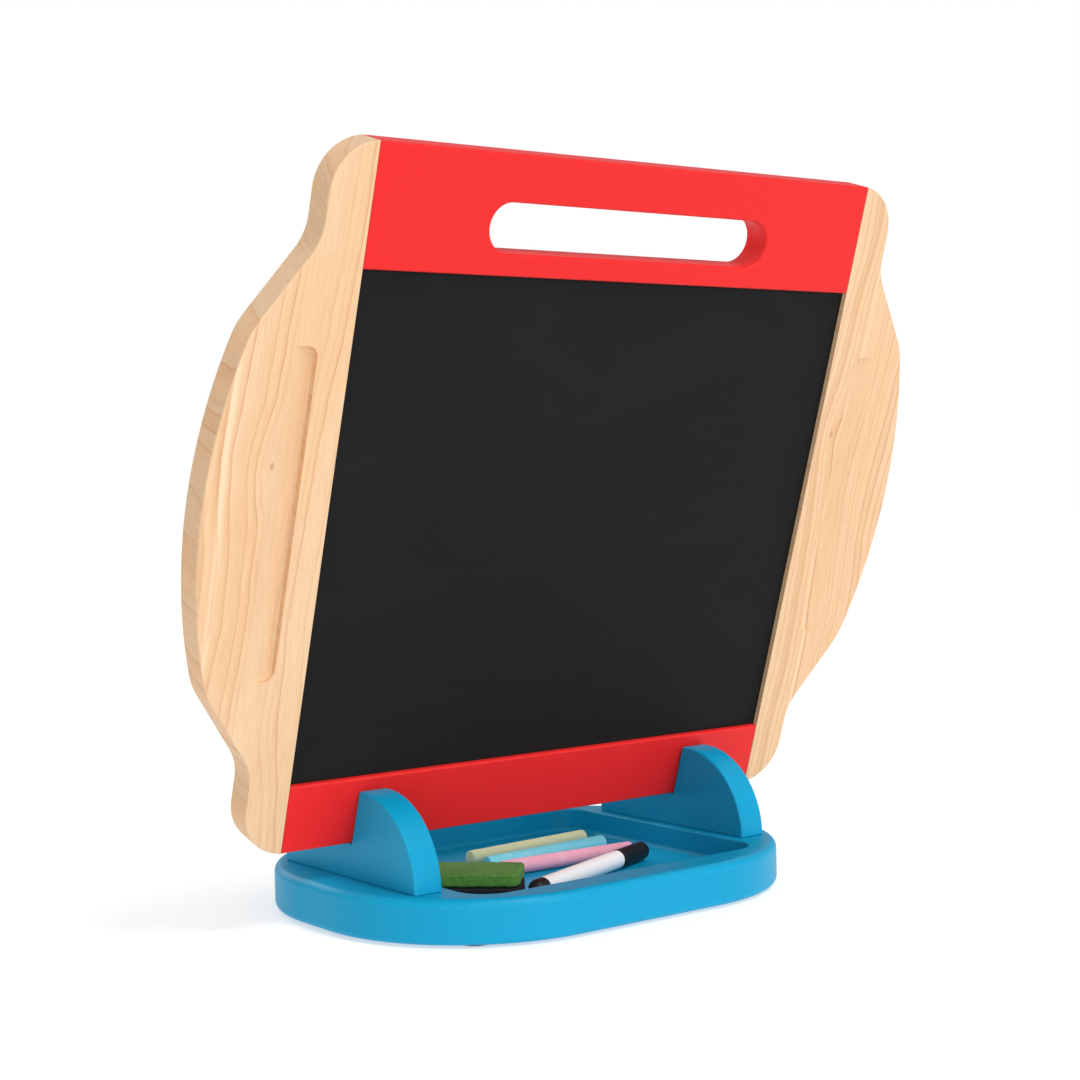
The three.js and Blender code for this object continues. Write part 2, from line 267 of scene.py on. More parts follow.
    def stand(self, centre: Vector, height: float = 0.0) -> "Form":
        """Stands a form that was turned about X upright over a centre, with its start at a height."""
        return self.place(Matrix.Translation((centre.x, centre.y, height)) @ Turn.UPRIGHT.value)

    def mirrored(self) -> "Form":
        """A copy with left and right exchanged."""
        copy = Form()
        copy.bm = self.bm.copy()
        bmesh.ops.scale(copy.bm, vec=(-1, 1, 1), verts=copy.bm.verts)
        bmesh.ops.reverse_faces(copy.bm, faces=copy.bm.faces)
        return copy

    def roughen(self, amount: float, size: float, seed: float) -> None:
        """Moves every vertex a little along its normal, in soft lumps.

        Args:
            amount: The greatest move.
            size: The size of a lump.
            seed: Picks one pattern of lumps.
        """
        self.bm.normal_update()
        start = Vector((seed, 0, 0))
        moves = [(v, v.normal * noise.noise(v.co / size + start) * amount) for v in self.bm.verts]
        for vert, move in moves:
            vert.co += move

    def piece(self, name: str, finish: "Finish", *nodes: str) -> bpy.types.Object:
        """Makes the form a finished piece that stands for CAD nodes and rides on their body.

        Args:
            name: The piece's name.
            finish: What it is made of.
            nodes: The CAD nodes that it stands for.

        Returns:
            The piece's object.
        """
        made = self.loose(name)
        made.data.shade_smooth()
        made.data.set_sharp_from_angle(angle=SHARP)
        made.data.materials.append(finish.material)
        made.modifiers.new("flat faces stay flat", "WEIGHTED_NORMAL").keep_sharp = True
        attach(made, frame["nodes"][nodes[0]]["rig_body"])
        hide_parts(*nodes)
        LOG.info("%s: %d faces, in %s", name, len(made.data.polygons), finish.slot)
        return made


class Pen:
    """Draws a plane curve in XY, one straight or round stretch after another."""

    def __init__(self, form: Form, x: float, y: float) -> None:
        """Puts the pen down at a point."""
        self.form = form
        self.verts = bmesh.ops.create_vert(form.bm, co=(x, y, 0))["vert"]

    def line(self, x: float, y: float) -> "Pen":
        """Draws a straight stretch to a point."""
        made = bmesh.ops.extrude_vert_indiv(self.form.bm, verts=self.verts[-1:])
        made["verts"][0].co = (x, y, 0)
        self.verts += made["verts"]
        return self

    def arc(self, centre: tuple[float, float], radius: float, start: float, end: float,
            steps: int = 10) -> "Pen":
        """Draws a round stretch, after a straight one to where it starts.

        Args:
            centre: The arc's centre.
            radius: The arc's radius.
            start: The angle at which it starts, in degrees, counted from +X towards +Y.
            end: The angle at which it ends, in degrees.
            steps: How many steps it takes.

        Returns:
            This pen.
        """
        first = math.radians(start)
        self.line(centre[0] + radius * math.cos(first), centre[1] + radius * math.sin(first))
        known = set(self.form.bm.verts)
        bmesh.ops.spin(self.form.bm, geom=self.verts[-1:], cent=(*centre, 0), axis=(0, 0, 1),
                       angle=math.radians(end - start), steps=steps)
        self.verts += [v for v in self.form.bm.verts if v not in known]
        return self

    def close(self) -> Form:
        """Joins the end to the start, and fills the outline with a face."""
        bmesh.ops.remove_doubles(self.form.bm, verts=self.form.bm.verts, dist=1e-6)
        ends = [v for v in self.form.bm.verts if len(v.link_edges) == 1]
        if ends:
            bmesh.ops.contextual_create(self.form.bm, geom=ends)
        bmesh.ops.contextual_create(self.form.bm, geom=self.form.bm.edges[:])
        return self.form


def block(half: tuple[float, float, float], centre: tuple[float, float, float]) -> Form:
    """A plain block, used as a cutting tool.

    Args:
        half: Half its size along each axis.
        centre: Its centre.

    Returns:
        The block.
    """
    made = Form()
    bmesh.ops.create_cube(made.bm, size=2, matrix=Matrix.Translation(centre) @ Matrix.Diagonal((*half, 1)))
    return made


def plate(half: tuple[float, float], centre: tuple[float, float], low: float, thick: float,
          corner: float = 0.0, steps: int = 8) -> Form:
    """A flat plate.

    Args:
        half: Half its length along X and along Y.
        centre: Its centre in X and Y.
        low: The height of its underside.
        thick: Its thickness.
        corner: The radius of its corners.
        steps: How many steps a corner's arc takes.

    Returns:
        The plate.
    """
    made = Form()
    made.rectangle(*half, low, corner, steps)
    made.place(Matrix.Translation((*centre, 0)))
    made.thicken(thick)
    return made


# ------------------------------------------------------------------------------ shader maths
@dataclass
class Wired:
    """Something that varies over a surface: one output socket of a graph."""

    graph: "Graph"
    socket: bpy.types.NodeSocket


class Number(Wired):
    """A number that varies over a surface. Arithmetic on it adds Math nodes."""

    def _math(self, operation: str, *terms: "Number | float") -> "Number":
        """Adds one Math node and gives its result."""
        made = self.graph.node("ShaderNodeMath", {"operation": operation}, dict(enumerate(terms)))
        return Number(self.graph, made.outputs[0])

    def __add__(self, other: "Number | float") -> "Number":
        """This plus another."""
        return self._math("ADD", self, other)

    __radd__ = __add__

    def __sub__(self, other: "Number | float") -> "Number":
        """This minus another."""
        return self._math("SUBTRACT", self, other)

    def __rsub__(self, other: float) -> "Number":
        """Another minus this."""
        return self._math("SUBTRACT", other, self)

    def __mul__(self, other: "Number | float") -> "Number":
        """This times another."""
        return self._math("MULTIPLY", self, other)

    __rmul__ = __mul__

    def __truediv__(self, other: "Number | float") -> "Number":
        """This divided by another."""
        return self._math("DIVIDE", self, other)

    def __abs__(self) -> "Number":
        """This without its sign."""
        return self._math("ABSOLUTE", self)

    def fraction(self) -> "Number":
        """What is left of this above a whole number."""
        return self._math("FRACT", self)

    def whole(self) -> "Number":
        """The whole number below this."""
        return self._math("FLOOR", self)

    def rise(self, start: float, end: float) -> "Number":
        """0 below start and 1 above end, with a smooth step between them."""
        made = self.graph.node("ShaderNodeMapRange", {"interpolation_type": "SMOOTHSTEP"},
                               {"Value": self, "From Min": start, "From Max": end})
        return Number(self.graph, made.outputs["Result"])

    def bump_at(self, middle: float, width: float) -> "Number":
        """1 where this is at a middle value, falling to 0 a width away on either side."""
        return 1 - abs(self - middle).rise(0, width)


class Arrow(Wired):
    """A vector that varies over a surface. Arithmetic on it adds Vector Math nodes."""

    def _math(self, operation: str, output: str, *terms: "Arrow | Iterable[float]") -> bpy.types.NodeSocket:
        """Adds one Vector Math node and gives one of its outputs."""
        made = self.graph.node("ShaderNodeVectorMath", {"operation": operation}, dict(enumerate(terms)))
        return made.outputs[output]

    def __add__(self, other: "Arrow | Iterable[float]") -> "Arrow":
        """This plus another."""
        return Arrow(self.graph, self._math("ADD", "Vector", self, other))

    def __mul__(self, other: "Arrow | Iterable[float]") -> "Arrow":
        """This times another, axis by axis."""
        return Arrow(self.graph, self._math("MULTIPLY", "Vector", self, other))

    def along(self, direction: Iterable[float]) -> Number:
        """How far this reaches along a direction."""
        return Number(self.graph, self._math("DOT_PRODUCT", "Value", self, direction))

    def length(self) -> Number:
        """How long this is."""
        return Number(self.graph, self._math("LENGTH", "Value", self))

    def parts(self) -> tuple[Number, Number, Number]:
        """Its X, Y and Z."""
        made = self.graph.node("ShaderNodeSeparateXYZ", {}, {0: self})
        return tuple(Number(self.graph, made.outputs[i]) for i in range(3))


class Tint(Wired):
    """A colour that varies over a surface. Mixing adds Mix nodes."""

    def towards(self, other: "Tint | Colour", share: Number | float) -> "Tint":
        """This mixed with a share, from 0 to 1, of another colour."""
        return self.graph.mix(self, other, share)


class Graph:
    """The node tree of one material."""

    COLOUR_A, COLOUR_B, COLOUR_OUT = 6, 7, 2  # the Mix node's colour sockets

    def __init__(self, name: str) -> None:
        """Starts a material with an empty tree."""
        self.material = bpy.data.materials.new(name)
        self.material.use_nodes = True
        self.tree = self.material.node_tree
        self.tree.nodes.clear()

    def node(self, kind: str, settings: dict[str, Any], sockets: dict[str | int, Any]) -> bpy.types.Node:
        """Adds any node.

        Args:
            kind: The node's type.
            settings: Its own settings, set first.
            sockets: A value, a link or a wrapped socket for each of its inputs.

        Returns:
            The node.
        """
        made = self.tree.nodes.new(kind)
        for key, value in settings.items():
            setattr(made, key, value)
        for key, value in sockets.items():
            source = getattr(value, "socket", value)
            if isinstance(source, bpy.types.NodeSocket):
                self.tree.links.new(source, made.inputs[key])
            elif isinstance(source, tuple) and made.inputs[key].type == "RGBA":
                made.inputs[key].default_value = (*source[:3], 1)
            else:
                made.inputs[key].default_value = source
        return made

    def place(self, scale: Iterable[float] = (1, 1, 1)) -> Arrow:
        """Where a point lies in the easel's frame, stretched."""
        made = self.node("ShaderNodeTexCoord", {}, {})
        where = Arrow(self, made.outputs["Object"])
        return where if tuple(scale) == (1, 1, 1) else where * tuple(scale)

    def normal(self) -> Arrow:
        """Which way the surface faces in the easel's frame."""
        return Arrow(self, self.node("ShaderNodeTexCoord", {}, {}).outputs["Normal"])

    def undone(self, where: Arrow, matrix: Matrix) -> Arrow:
        """Takes a place back to how it was before a move, so that a pattern follows a tilted piece."""
        moved = {"Vector": where, "Location": matrix.to_translation(), "Rotation": matrix.to_euler()}
        return Arrow(self, self.node("ShaderNodeMapping", {"vector_type": "TEXTURE"}, moved).outputs[0])

    def clouds(self, where: Arrow, scale: float, detail: float = 2, roughness: float = 0.5,
               warp: float = 0) -> Number:
        """Soft noise from 0 to 1, about 0.5 on the whole."""
        made = self.node("ShaderNodeTexNoise", {"normalize": True},
                         {"Vector": where, "Scale": scale, "Detail": detail, "Roughness": roughness,
                          "Distortion": warp})
        return Number(self, made.outputs[0])

    def drift(self, along: Number, scale: float, detail: float = 1) -> Number:
        """Soft noise from 0 to 1 along a single number."""
        made = self.node("ShaderNodeTexNoise", {"noise_dimensions": "1D"},
                         {"W": along, "Scale": scale, "Detail": detail})
        return Number(self, made.outputs[0])

    def lottery(self, along: Number) -> Number:
        """A number from 0 to 1 for each whole number, with nothing in common between them."""
        made = self.node("ShaderNodeTexWhiteNoise", {"noise_dimensions": "1D"}, {"W": along})
        return Number(self, made.outputs["Value"])

    def cells(self, where: Arrow, scale: float) -> Number:
        """The distance to the nearest of many scattered points."""
        made = self.node("ShaderNodeTexVoronoi", {"feature": "F1"}, {"Vector": where, "Scale": scale})
        return Number(self, made.outputs["Distance"])

    def worn(self) -> Number:
        """1 on the piece's rounded rims and 0 elsewhere."""
        made = self.node("ShaderNodeAttribute", {"attribute_name": WORN}, {})
        return Number(self, made.outputs["Fac"])

    def mix(self, first: "Tint | Colour", second: "Tint | Colour", share: Number | float) -> Tint:
        """A mixture of two colours, with a share from 0 to 1 of the second."""
        made = self.node("ShaderNodeMix", {"data_type": "RGBA", "blend_type": "MIX"},
                         {0: share, self.COLOUR_A: first, self.COLOUR_B: second})
        return Tint(self, made.outputs[self.COLOUR_OUT])

    def relief(self, height: Number, depth: float) -> Arrow:
        """A normal bent by a height of so many metres."""
        made = self.node("ShaderNodeBump", {}, {"Height": height, "Distance": depth, "Strength": 1})
        return Arrow(self, made.outputs[0])

    def surface(self, colour: "Tint | Colour", roughness: Number | float, normal: Arrow | None = None,
                **constants: float | Colour) -> bpy.types.Material:
        """Ends the tree in a Principled shader.

        Args:
            colour: The base colour.
            roughness: The roughness.
            normal: The normal, where relief bends it.
            constants: Sockets that are the same all over the surface, with _ for a space.

        Returns:
            The finished material.
        """
        sockets = {"Base Color": colour, "Roughness": roughness}
        if normal is not None:
            sockets["Normal"] = normal
        sockets |= {key.replace("_", " "): value for key, value in constants.items()}
        shader = self.node("ShaderNodeBsdfPrincipled", {}, sockets)
        self.node("ShaderNodeOutputMaterial", {}, {"Surface": shader.outputs[0]})
        return self.material


# ------------------------------------------------------------------------------ finishes
@dataclass(frozen=True)
class Finish:
    """What a piece is made of, under the name of the record's material slot."""

    slot: str

    @cached_property
    def material(self) -> bpy.types.Material:
        """The finish's material, made once and shared by its pieces."""
        return self.build(Graph(f"{self.slot}_finish"))

    def build(self, graph: Graph) -> bpy.types.Material:
        """Builds the node tree. Each finish has its own."""
        raise NotImplementedError


@dataclass(frozen=True)
class Paint(Finish):
    """Satin paint sprayed on sanded wood, a little thinner on the rims."""

    colour: Colour
    rim: Colour
    roughness: float = 0.42

    def build(self, graph: Graph) -> bpy.types.Material:
        """Even colour with faint clouds, orange peel and a trace of the grain beneath."""
        place = graph.place()
        cloud = graph.clouds(place, 14, 3)
        peel = graph.clouds(place, 420, 2)
        grain = graph.clouds(graph.place((60, 900, 900)), 1, 2)
        speck = graph.cells(place, 260).rise(0.16, 0.04)
        even = graph.mix(self.colour, self.rim, (cloud - 0.5) * 0.35)
        rims = graph.worn() * graph.clouds(place, 160, 3).rise(0.35, 0.7) * 0.5
        colour = even.towards(self.rim, rims).towards((1, 1, 1), speck * 0.012)
        height = peel * 0.6 + grain * 0.4
        rough = self.roughness + (cloud - 0.5) * 0.1 + (peel - 0.5) * 0.08
        return graph.surface(colour, rough, graph.relief(height, 0.00006), Specular_IOR_Level=0.18)


@dataclass(frozen=True)
class Maple(Finish):
    """Clear-oiled flat-sawn maple whose grain runs up the board."""

    board: Matrix
    pale: Colour
    warm: Colour
    line: Colour
    edge: Colour
    streaks: tuple[tuple[float, float], ...]  # (where across, half width) of pale sapwood
    knots: tuple[tuple[float, float], ...]  # (where across, how high) of pin knots
    sapwood: Colour = (0.93, 0.72, 0.49)
    bark: Colour = (0.48, 0.2, 0.08)  # in the middle of a knot
    ring: float = 0.0082  # between growth lines
    band: float = 0.014  # between bands on the sawn edges

    def build(self, graph: Graph) -> bpy.types.Material:
        """Growth rings and fine fibres on the faces, slanting bands on the sawn edges."""
        local = graph.undone(graph.place(), self.board)
        across, up, deep = local.parts()
        facing = abs(graph.normal().along(self.board.to_3x3() @ Vector((0, 0, 1))))
        sawn = 1 - facing.rise(0.45, 0.8)

        spots = [((local + (-x, -y, 0)) * (1, 0.55, 0.3)).length() for x, y in self.knots]
        near_knot = sum(1 - spot.rise(0, 0.02) for spot in spots)
        sway = graph.clouds(local * (5, 3.4, 5), 1, 1) - 0.5
        ripple = graph.clouds(local * (18, 10, 18), 1, 1) - 0.5
        tremble = graph.clouds(local * (70, 38, 70), 1, 1) - 0.5
        bend = sway * 0.042 + ripple * 0.013 + tremble * 0.0022
        flow = across + bend + deep * 0.5 + near_knot * 0.004
        phase = flow / self.ring + graph.drift(flow, 60) * 3.2
        wave = phase.fraction()
        band = graph.lottery(phase.whole())
        late = wave.rise(0.3, 0.94) * (1 - wave.rise(0.95, 1.0))
        thin = wave.rise(0.8, 0.92) * (1 - wave.rise(0.94, 1.0))
        strength = 0.2 + band * 0.8

        fibre = graph.clouds(local * (800, 45, 800), 1, 4, 0.65)
        fleck = graph.clouds(local * (1300, 110, 1300), 1, 2).rise(0.62, 0.74)
        patch = graph.clouds(local * (16, 5, 16), 1, 3)
        face = graph.mix(self.pale, self.warm, patch.rise(0.3, 0.72) * 0.7 + band * 0.2)
        face = face.towards(self.line, late * strength * 0.34).towards(self.line, thin * strength * 0.78)
        face = face.towards(self.line, fleck * 0.16).towards(self.line, (fibre - 0.4) * 0.8)
        for where, width in self.streaks:
            pale = (across + bend * 0.4).bump_at(where, width) * (0.45 + fibre * 0.8)
            face = face.towards(self.sapwood, pale * 0.6)
        for spot in spots:
            face = face.towards(self.bark, (1 - spot.rise(0.0004, 0.0017)) * 0.75)

        slant = up + deep * 0.3 + across * 0.2 + (graph.clouds(local * (22, 9, 26), 1, 2) - 0.5) * 0.024
        count = slant / self.band + graph.drift(slant, 42) * 4.5
        cross = count.fraction()
        mark = graph.lottery(count.whole())
        blotch = graph.clouds(local * (20, 30, 20), 1, 2).rise(0.3, 0.7)
        edge = graph.mix(self.edge, self.warm, mark * 0.5 + blotch * 0.5)
        for start, share in ((0.35, 0.3), (0.86, 0.45)):
            stripe = cross.rise(start, 0.95) * (1 - cross.rise(0.96, 1.0))
            edge = edge.towards(self.line, stripe * mark * share)
        edge = edge.towards(self.line, (graph.clouds(local * (260, 620, 260), 1, 3) - 0.4) * 0.6)

        colour = face.towards(edge, sawn).towards(self.pale, graph.worn() * 0.12)
        height = fibre * 0.5 - fleck * 0.3
        rough = 0.5 + (fibre - 0.5) * 0.14 + sawn * 0.12 - thin * 0.05
        return graph.surface(colour, rough, graph.relief(height, 0.00007), Coat_Weight=0.06,
                             Coat_Roughness=0.4)


@dataclass(frozen=True)
class Slate(Finish):
    """Matt chalkboard paint with the haze that wiped chalk leaves."""

    colour: Colour
    haze: Colour

    def build(self, graph: Graph) -> bpy.types.Material:
        """Near-black with faint wiped clouds and a fine tooth."""
        place = graph.place()
        wiped = graph.clouds(graph.place((7, 7, 16)), 1, 5, 0.62, 0.6)
        dust = graph.clouds(place, 900, 2)
        strokes = graph.clouds(graph.place((14, 14, 160)), 1, 4, 0.6, 0.4)
        share = wiped.rise(0.45, 0.85) * 0.22 + strokes.rise(0.55, 0.8) * 0.07 + (dust - 0.5) * 0.1
        height = dust * 0.7 + graph.cells(place, 1500) * 0.3
        return graph.surface(graph.mix(self.colour, self.haze, share), 0.74 + (wiped - 0.5) * 0.16,
                             graph.relief(height, 0.00005), Specular_IOR_Level=0.13)


@dataclass(frozen=True)
class Dryboard(Finish):
    """A glossy white sheet that dry markers write on."""

    def build(self, graph: Graph) -> bpy.types.Material:
        """Cool white with the ghosts of wiped strokes."""
        place = graph.place()
        ghost = graph.clouds(graph.place((10, 10, 34)), 1, 5, 0.6, 0.8).rise(0.55, 0.85)
        peel = graph.clouds(place, 210, 2)
        colour = graph.mix((0.86, 0.87, 0.87), (0.62, 0.66, 0.7), ghost * 0.12)
        return graph.surface(colour, 0.13 + ghost * 0.12 + (peel - 0.5) * 0.05, graph.relief(peel, 0.00002),
                             Coat_Weight=0.5, Coat_Roughness=0.06)


@dataclass(frozen=True)
class ChalkStick(Finish):
    """Pressed chalk, powdery and pitted."""

    colour: Colour
    dust: Colour

    def build(self, graph: Graph) -> bpy.types.Material:
        """Pastel powder with pale dust, rubbed patches, and small pits with painted shade in them."""
        place = graph.place()
        powder = graph.clouds(place, 650, 4, 0.6)
        rubbed = graph.clouds(place, 90, 3).rise(0.5, 0.75)
        pits_and_painted_shade = graph.cells(place, 900).rise(0.22, 0.06)
        colour = graph.mix(self.colour, self.dust, rubbed * 0.35 + (powder - 0.5) * 0.5)
        # painted shade: the pits are darkened in colour, as the shadow in them would be, besides their dents
        # in the relief
        colour = colour.towards(tuple(0.55 * c for c in self.colour), pits_and_painted_shade * 0.4)
        height = powder * 0.7 - pits_and_painted_shade * 0.6
        return graph.surface(colour, 0.93, graph.relief(height, 0.00014), Specular_IOR_Level=0.2)


@dataclass(frozen=True)
class Felt(Finish):
    """Pressed wool felt, layered, with loose fibres."""

    colour: Colour
    deep: Colour
    tip: Colour

    def build(self, graph: Graph) -> bpy.types.Material:
        """Tangled fibres light and dark, in soft tufts."""
        place = graph.place()
        tangle = graph.clouds(place, 620, 4, 0.7, 1.4)
        fibres = graph.clouds(graph.place((1500, 420, 900)), 1, 3, 0.7, 2.2)
        tuft = graph.clouds(place, 130, 3)
        layers = graph.clouds(graph.place((45, 45, 700)), 1, 2)
        shade = tangle.rise(0.62, 0.32) * 0.6 + layers.rise(0.6, 0.35) * 0.25
        shine = fibres.rise(0.52, 0.72) * 0.5 + tuft.rise(0.5, 0.8) * 0.25
        colour = graph.mix(self.colour, self.deep, shade).towards(self.tip, shine)
        height = tangle * 0.5 + fibres * 0.4 + tuft * 0.4
        return graph.surface(colour, 0.95, graph.relief(height, 0.0004), Sheen_Weight=0.08,
                             Sheen_Roughness=0.4, Specular_IOR_Level=0.1)


@dataclass(frozen=True)
class Plastic(Finish):
    """Moulded plastic with a fine texture and light scuffs."""

    colour: Colour
    scuff: Colour
    roughness: float
    grain: float = 700.0

    def build(self, graph: Graph) -> bpy.types.Material:
        """Even colour, spark-eroded texture, and a few long scuffs."""
        place = graph.place()
        texture = graph.clouds(place, self.grain, 2)
        scuffs = graph.clouds(graph.place((60, 60, 1400)), 1, 3, 0.6, 1.2).rise(0.66, 0.74)
        cloud = graph.clouds(place, 45, 3)
        pale = scuffs * 0.25 + (cloud - 0.5) * 0.16 + graph.worn() * 0.12
        colour = graph.mix(self.colour, self.scuff, pale)
        rough = self.roughness + scuffs * 0.18 + (texture - 0.5) * 0.12
        normal = graph.relief(texture - scuffs * 0.4, 0.00004)
        return graph.surface(colour, rough, normal, Specular_IOR_Level=0.3)


@dataclass(frozen=True)
class Steel(Finish):
    """Zinc-plated steel, spangled and lightly scratched."""

    def build(self, graph: Graph) -> bpy.types.Material:
        """Bright grey with spangle and scratches."""
        spangle = graph.cells(graph.place(), 700)
        scratch = graph.clouds(graph.place((3000, 3000, 200)), 1, 2)
        colour = graph.mix((0.46, 0.47, 0.5), (0.68, 0.68, 0.66), spangle * 0.9)
        return graph.surface(colour, 0.26 + spangle * 0.2 + (scratch - 0.5) * 0.2,
                             graph.relief(scratch, 0.00002), Metallic=1.0)


@dataclass(frozen=True)
class PlainWood(Finish):
    """Unfinished wood or bonded fibre, streaked along one axis."""

    colour: Colour
    fleck: Colour
    stretch: tuple[float, float, float]

    def build(self, graph: Graph) -> bpy.types.Material:
        """Streaks and short flecks along the fibres."""
        streak = graph.clouds(graph.place(self.stretch), 1, 3)
        fleck = graph.clouds(graph.place(tuple(2.3 * s for s in self.stretch)), 1, 2).rise(0.58, 0.7)
        colour = graph.mix(self.colour, self.fleck, fleck * 0.5 + streak.rise(0.35, 0.75) * 0.3)
        normal = graph.relief(streak - fleck * 0.5, 0.00012)
        return graph.surface(colour, 0.78 + (streak - 0.5) * 0.15, normal)


# ------------------------------------------------------------------------------ sub-assemblies
@dataclass
class Tray:
    """The base with its well, the pads under it and the screws that hold the fins."""

    paint: Finish
    rubber: Finish
    steel: Finish
    corner: float = 100 * MM
    top_round: float = 4.6 * MM
    foot_round: float = 3.6 * MM
    well: tuple[float, float, float] = (104 * MM, 92 * MM, 15 * MM)  # half length, half depth, how deep
    well_corner: float = 20 * MM
    well_fillet: float = 3 * MM
    lip: float = 1.3 * MM
    pad_radius: float = 11 * MM
    pad_sunk: float = 1 * MM
    shank: float = 2.2 * MM
    head: float = 4.5 * MM
    screw_length: float = 44 * MM
    pitch: float = 4 * MM
    thread: float = 0.5 * MM

    def __post_init__(self) -> None:
        """Reads the base's place from the frame."""
        self.low, self.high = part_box("base_tray")
        self.screws = {n: sum(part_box(n), Vector()) / 2 for n in frame["nodes"] if n.endswith("_fin_screw")}
        self.pads = {n: sum(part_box(n), Vector()) / 2 for n in frame["nodes"] if n.endswith("_pad")}

    def build(self) -> None:
        """Builds the base, the pads and the screws."""
        self.build_base()
        for name, centre in self.pads.items():
            self.build_pad(name, centre)
        for name, centre in self.screws.items():
            self.build_screw(name, centre)

    def build_base(self) -> None:
        """A thick plate with round ends, rounded rims and a well."""
        half_length, half_depth, deep = self.well
        form = Form()
        rim = form.rectangle(self.high.x, self.high.y, self.high.z, self.corner, 26)
        face = rim[0].link_faces[0]
        bmesh.ops.delete(form.bm, geom=[face], context="FACES_ONLY")
        mouth = form.rectangle(half_length, half_depth, self.high.z, self.well_corner, 26)
        bmesh.ops.bridge_loops(form.bm, edges=rim + mouth)
        lid = [f for f in form.bm.faces if len(f.verts) > 4]
        pushed = bmesh.ops.extrude_face_region(form.bm, geom=lid)
        bmesh.ops.translate(form.bm, vec=(0, 0, -deep), verts=only(BMVert, pushed["geom"]))
        bmesh.ops.delete(form.bm, geom=lid, context="FACES_ONLY")
        dropped = bmesh.ops.extrude_edge_only(form.bm, edges=rim)["geom"]
        drop = (0, 0, self.low.z - self.high.z)
        bmesh.ops.translate(form.bm, vec=drop, verts=only(BMVert, dropped))
        bmesh.ops.contextual_create(form.bm, geom=[e for e in only(BMEdge, dropped) if e.is_boundary])
        form.turn_out()

        def outside(co: Vector) -> bool:
            """Whether a point lies beyond the well's walls."""
            return abs(co.x) > half_length + MM or abs(co.y) > half_depth + MM

        def in_well(co: Vector, height: float) -> bool:
            """Whether a point lies in the well, at a height."""
            return not outside(co) and abs(co.z - height) < MM / 10

        middle, floor = (self.low.z + self.high.z) / 2, self.high.z - deep
        form.round_over(form.edges(lambda co: outside(co) and co.z > middle), self.top_round, 7)
        form.round_over(form.edges(lambda co: outside(co) and co.z < middle), self.foot_round, 5)
        form.round_over(form.edges(lambda co: in_well(co, floor)), self.well_fillet, 6, worn=False)
        form.round_over(form.edges(lambda co: in_well(co, self.high.z)), self.lip)
        seat, radius = self.low.z + self.pad_sunk + GAP, self.pad_radius + GAP
        profile = [(-MM, 0), (-MM, radius), (seat, radius), (seat, 0)]
        form.carve(*(Form().spun(profile).stand(centre) for centre in self.pads.values()),
                   *(screw_hole(self, centre, self.high.z + MM) for centre in self.screws.values()))
        form.piece("tray_base", self.paint, "base_tray")

    def build_pad(self, name: str, centre: Vector) -> None:
        """A rubber disc with a raised ring on its sole."""
        low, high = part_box(name)
        r = self.pad_radius
        profile = [(high.z, 0), (high.z, r), (0.7 * MM, r), (0.3 * MM, r - 0.3 * MM), (low.z, r - 0.8 * MM),
                   (low.z, r - 2.6 * MM), (0.4 * MM, r - 3 * MM), (0.4 * MM, 3 * MM), (low.z, 2.6 * MM),
                   (low.z, 0)]
        Form().spun(profile).stand(centre).piece(f"{name}_disc", self.rubber, name)

    def build_screw(self, name: str, centre: Vector) -> None:
        """A countersunk screw with a cross recess and a coarse thread."""
        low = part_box(name)[0].z
        shank, pitch, root = self.shank, self.pitch, self.shank - 0.2 * MM
        profile = [(0, 0), (0, self.head - 0.3 * MM), (0.3 * MM, self.head), (3 * MM, shank)]
        end = self.screw_length - 5 * MM
        at = 12 * MM
        while at + pitch <= end:
            profile += [(at, shank), (at + 0.28 * pitch, root), (at + 0.42 * pitch, shank + self.thread),
                        (at + 0.56 * pitch, root)]
            at += pitch
        profile += [(end, shank), (self.screw_length, 0)]
        form = Form().spun(profile, 32)
        arm, slit, deep = 2.4 * MM, 0.5 * MM, 1.2 * MM
        form.carve(block((deep, arm, slit), (0, 0, 0)), block((deep, slit, arm), (0, 0, 0)))
        form.stand(centre, low).piece(f"{name}_turned", self.steel, name)


def screw_hole(tray: Tray, centre: Vector, top: float) -> Form:
    """The room that a fin screw needs.

    Args:
        tray: The tray, which knows the screws' sizes.
        centre: The screw's centre.
        top: How high the hole reaches.

    Returns:
        The hole as a solid cutting tool.
    """
    radius = tray.shank + tray.thread + GAP
    start = tray.low.z
    profile = [(start - MM, 0), (start - MM, tray.head + GAP), (start + GAP, tray.head + GAP),
               (start + 3 * MM + GAP, radius), (top, radius), (top, 0)]
    return Form().spun(profile, 32).stand(centre)


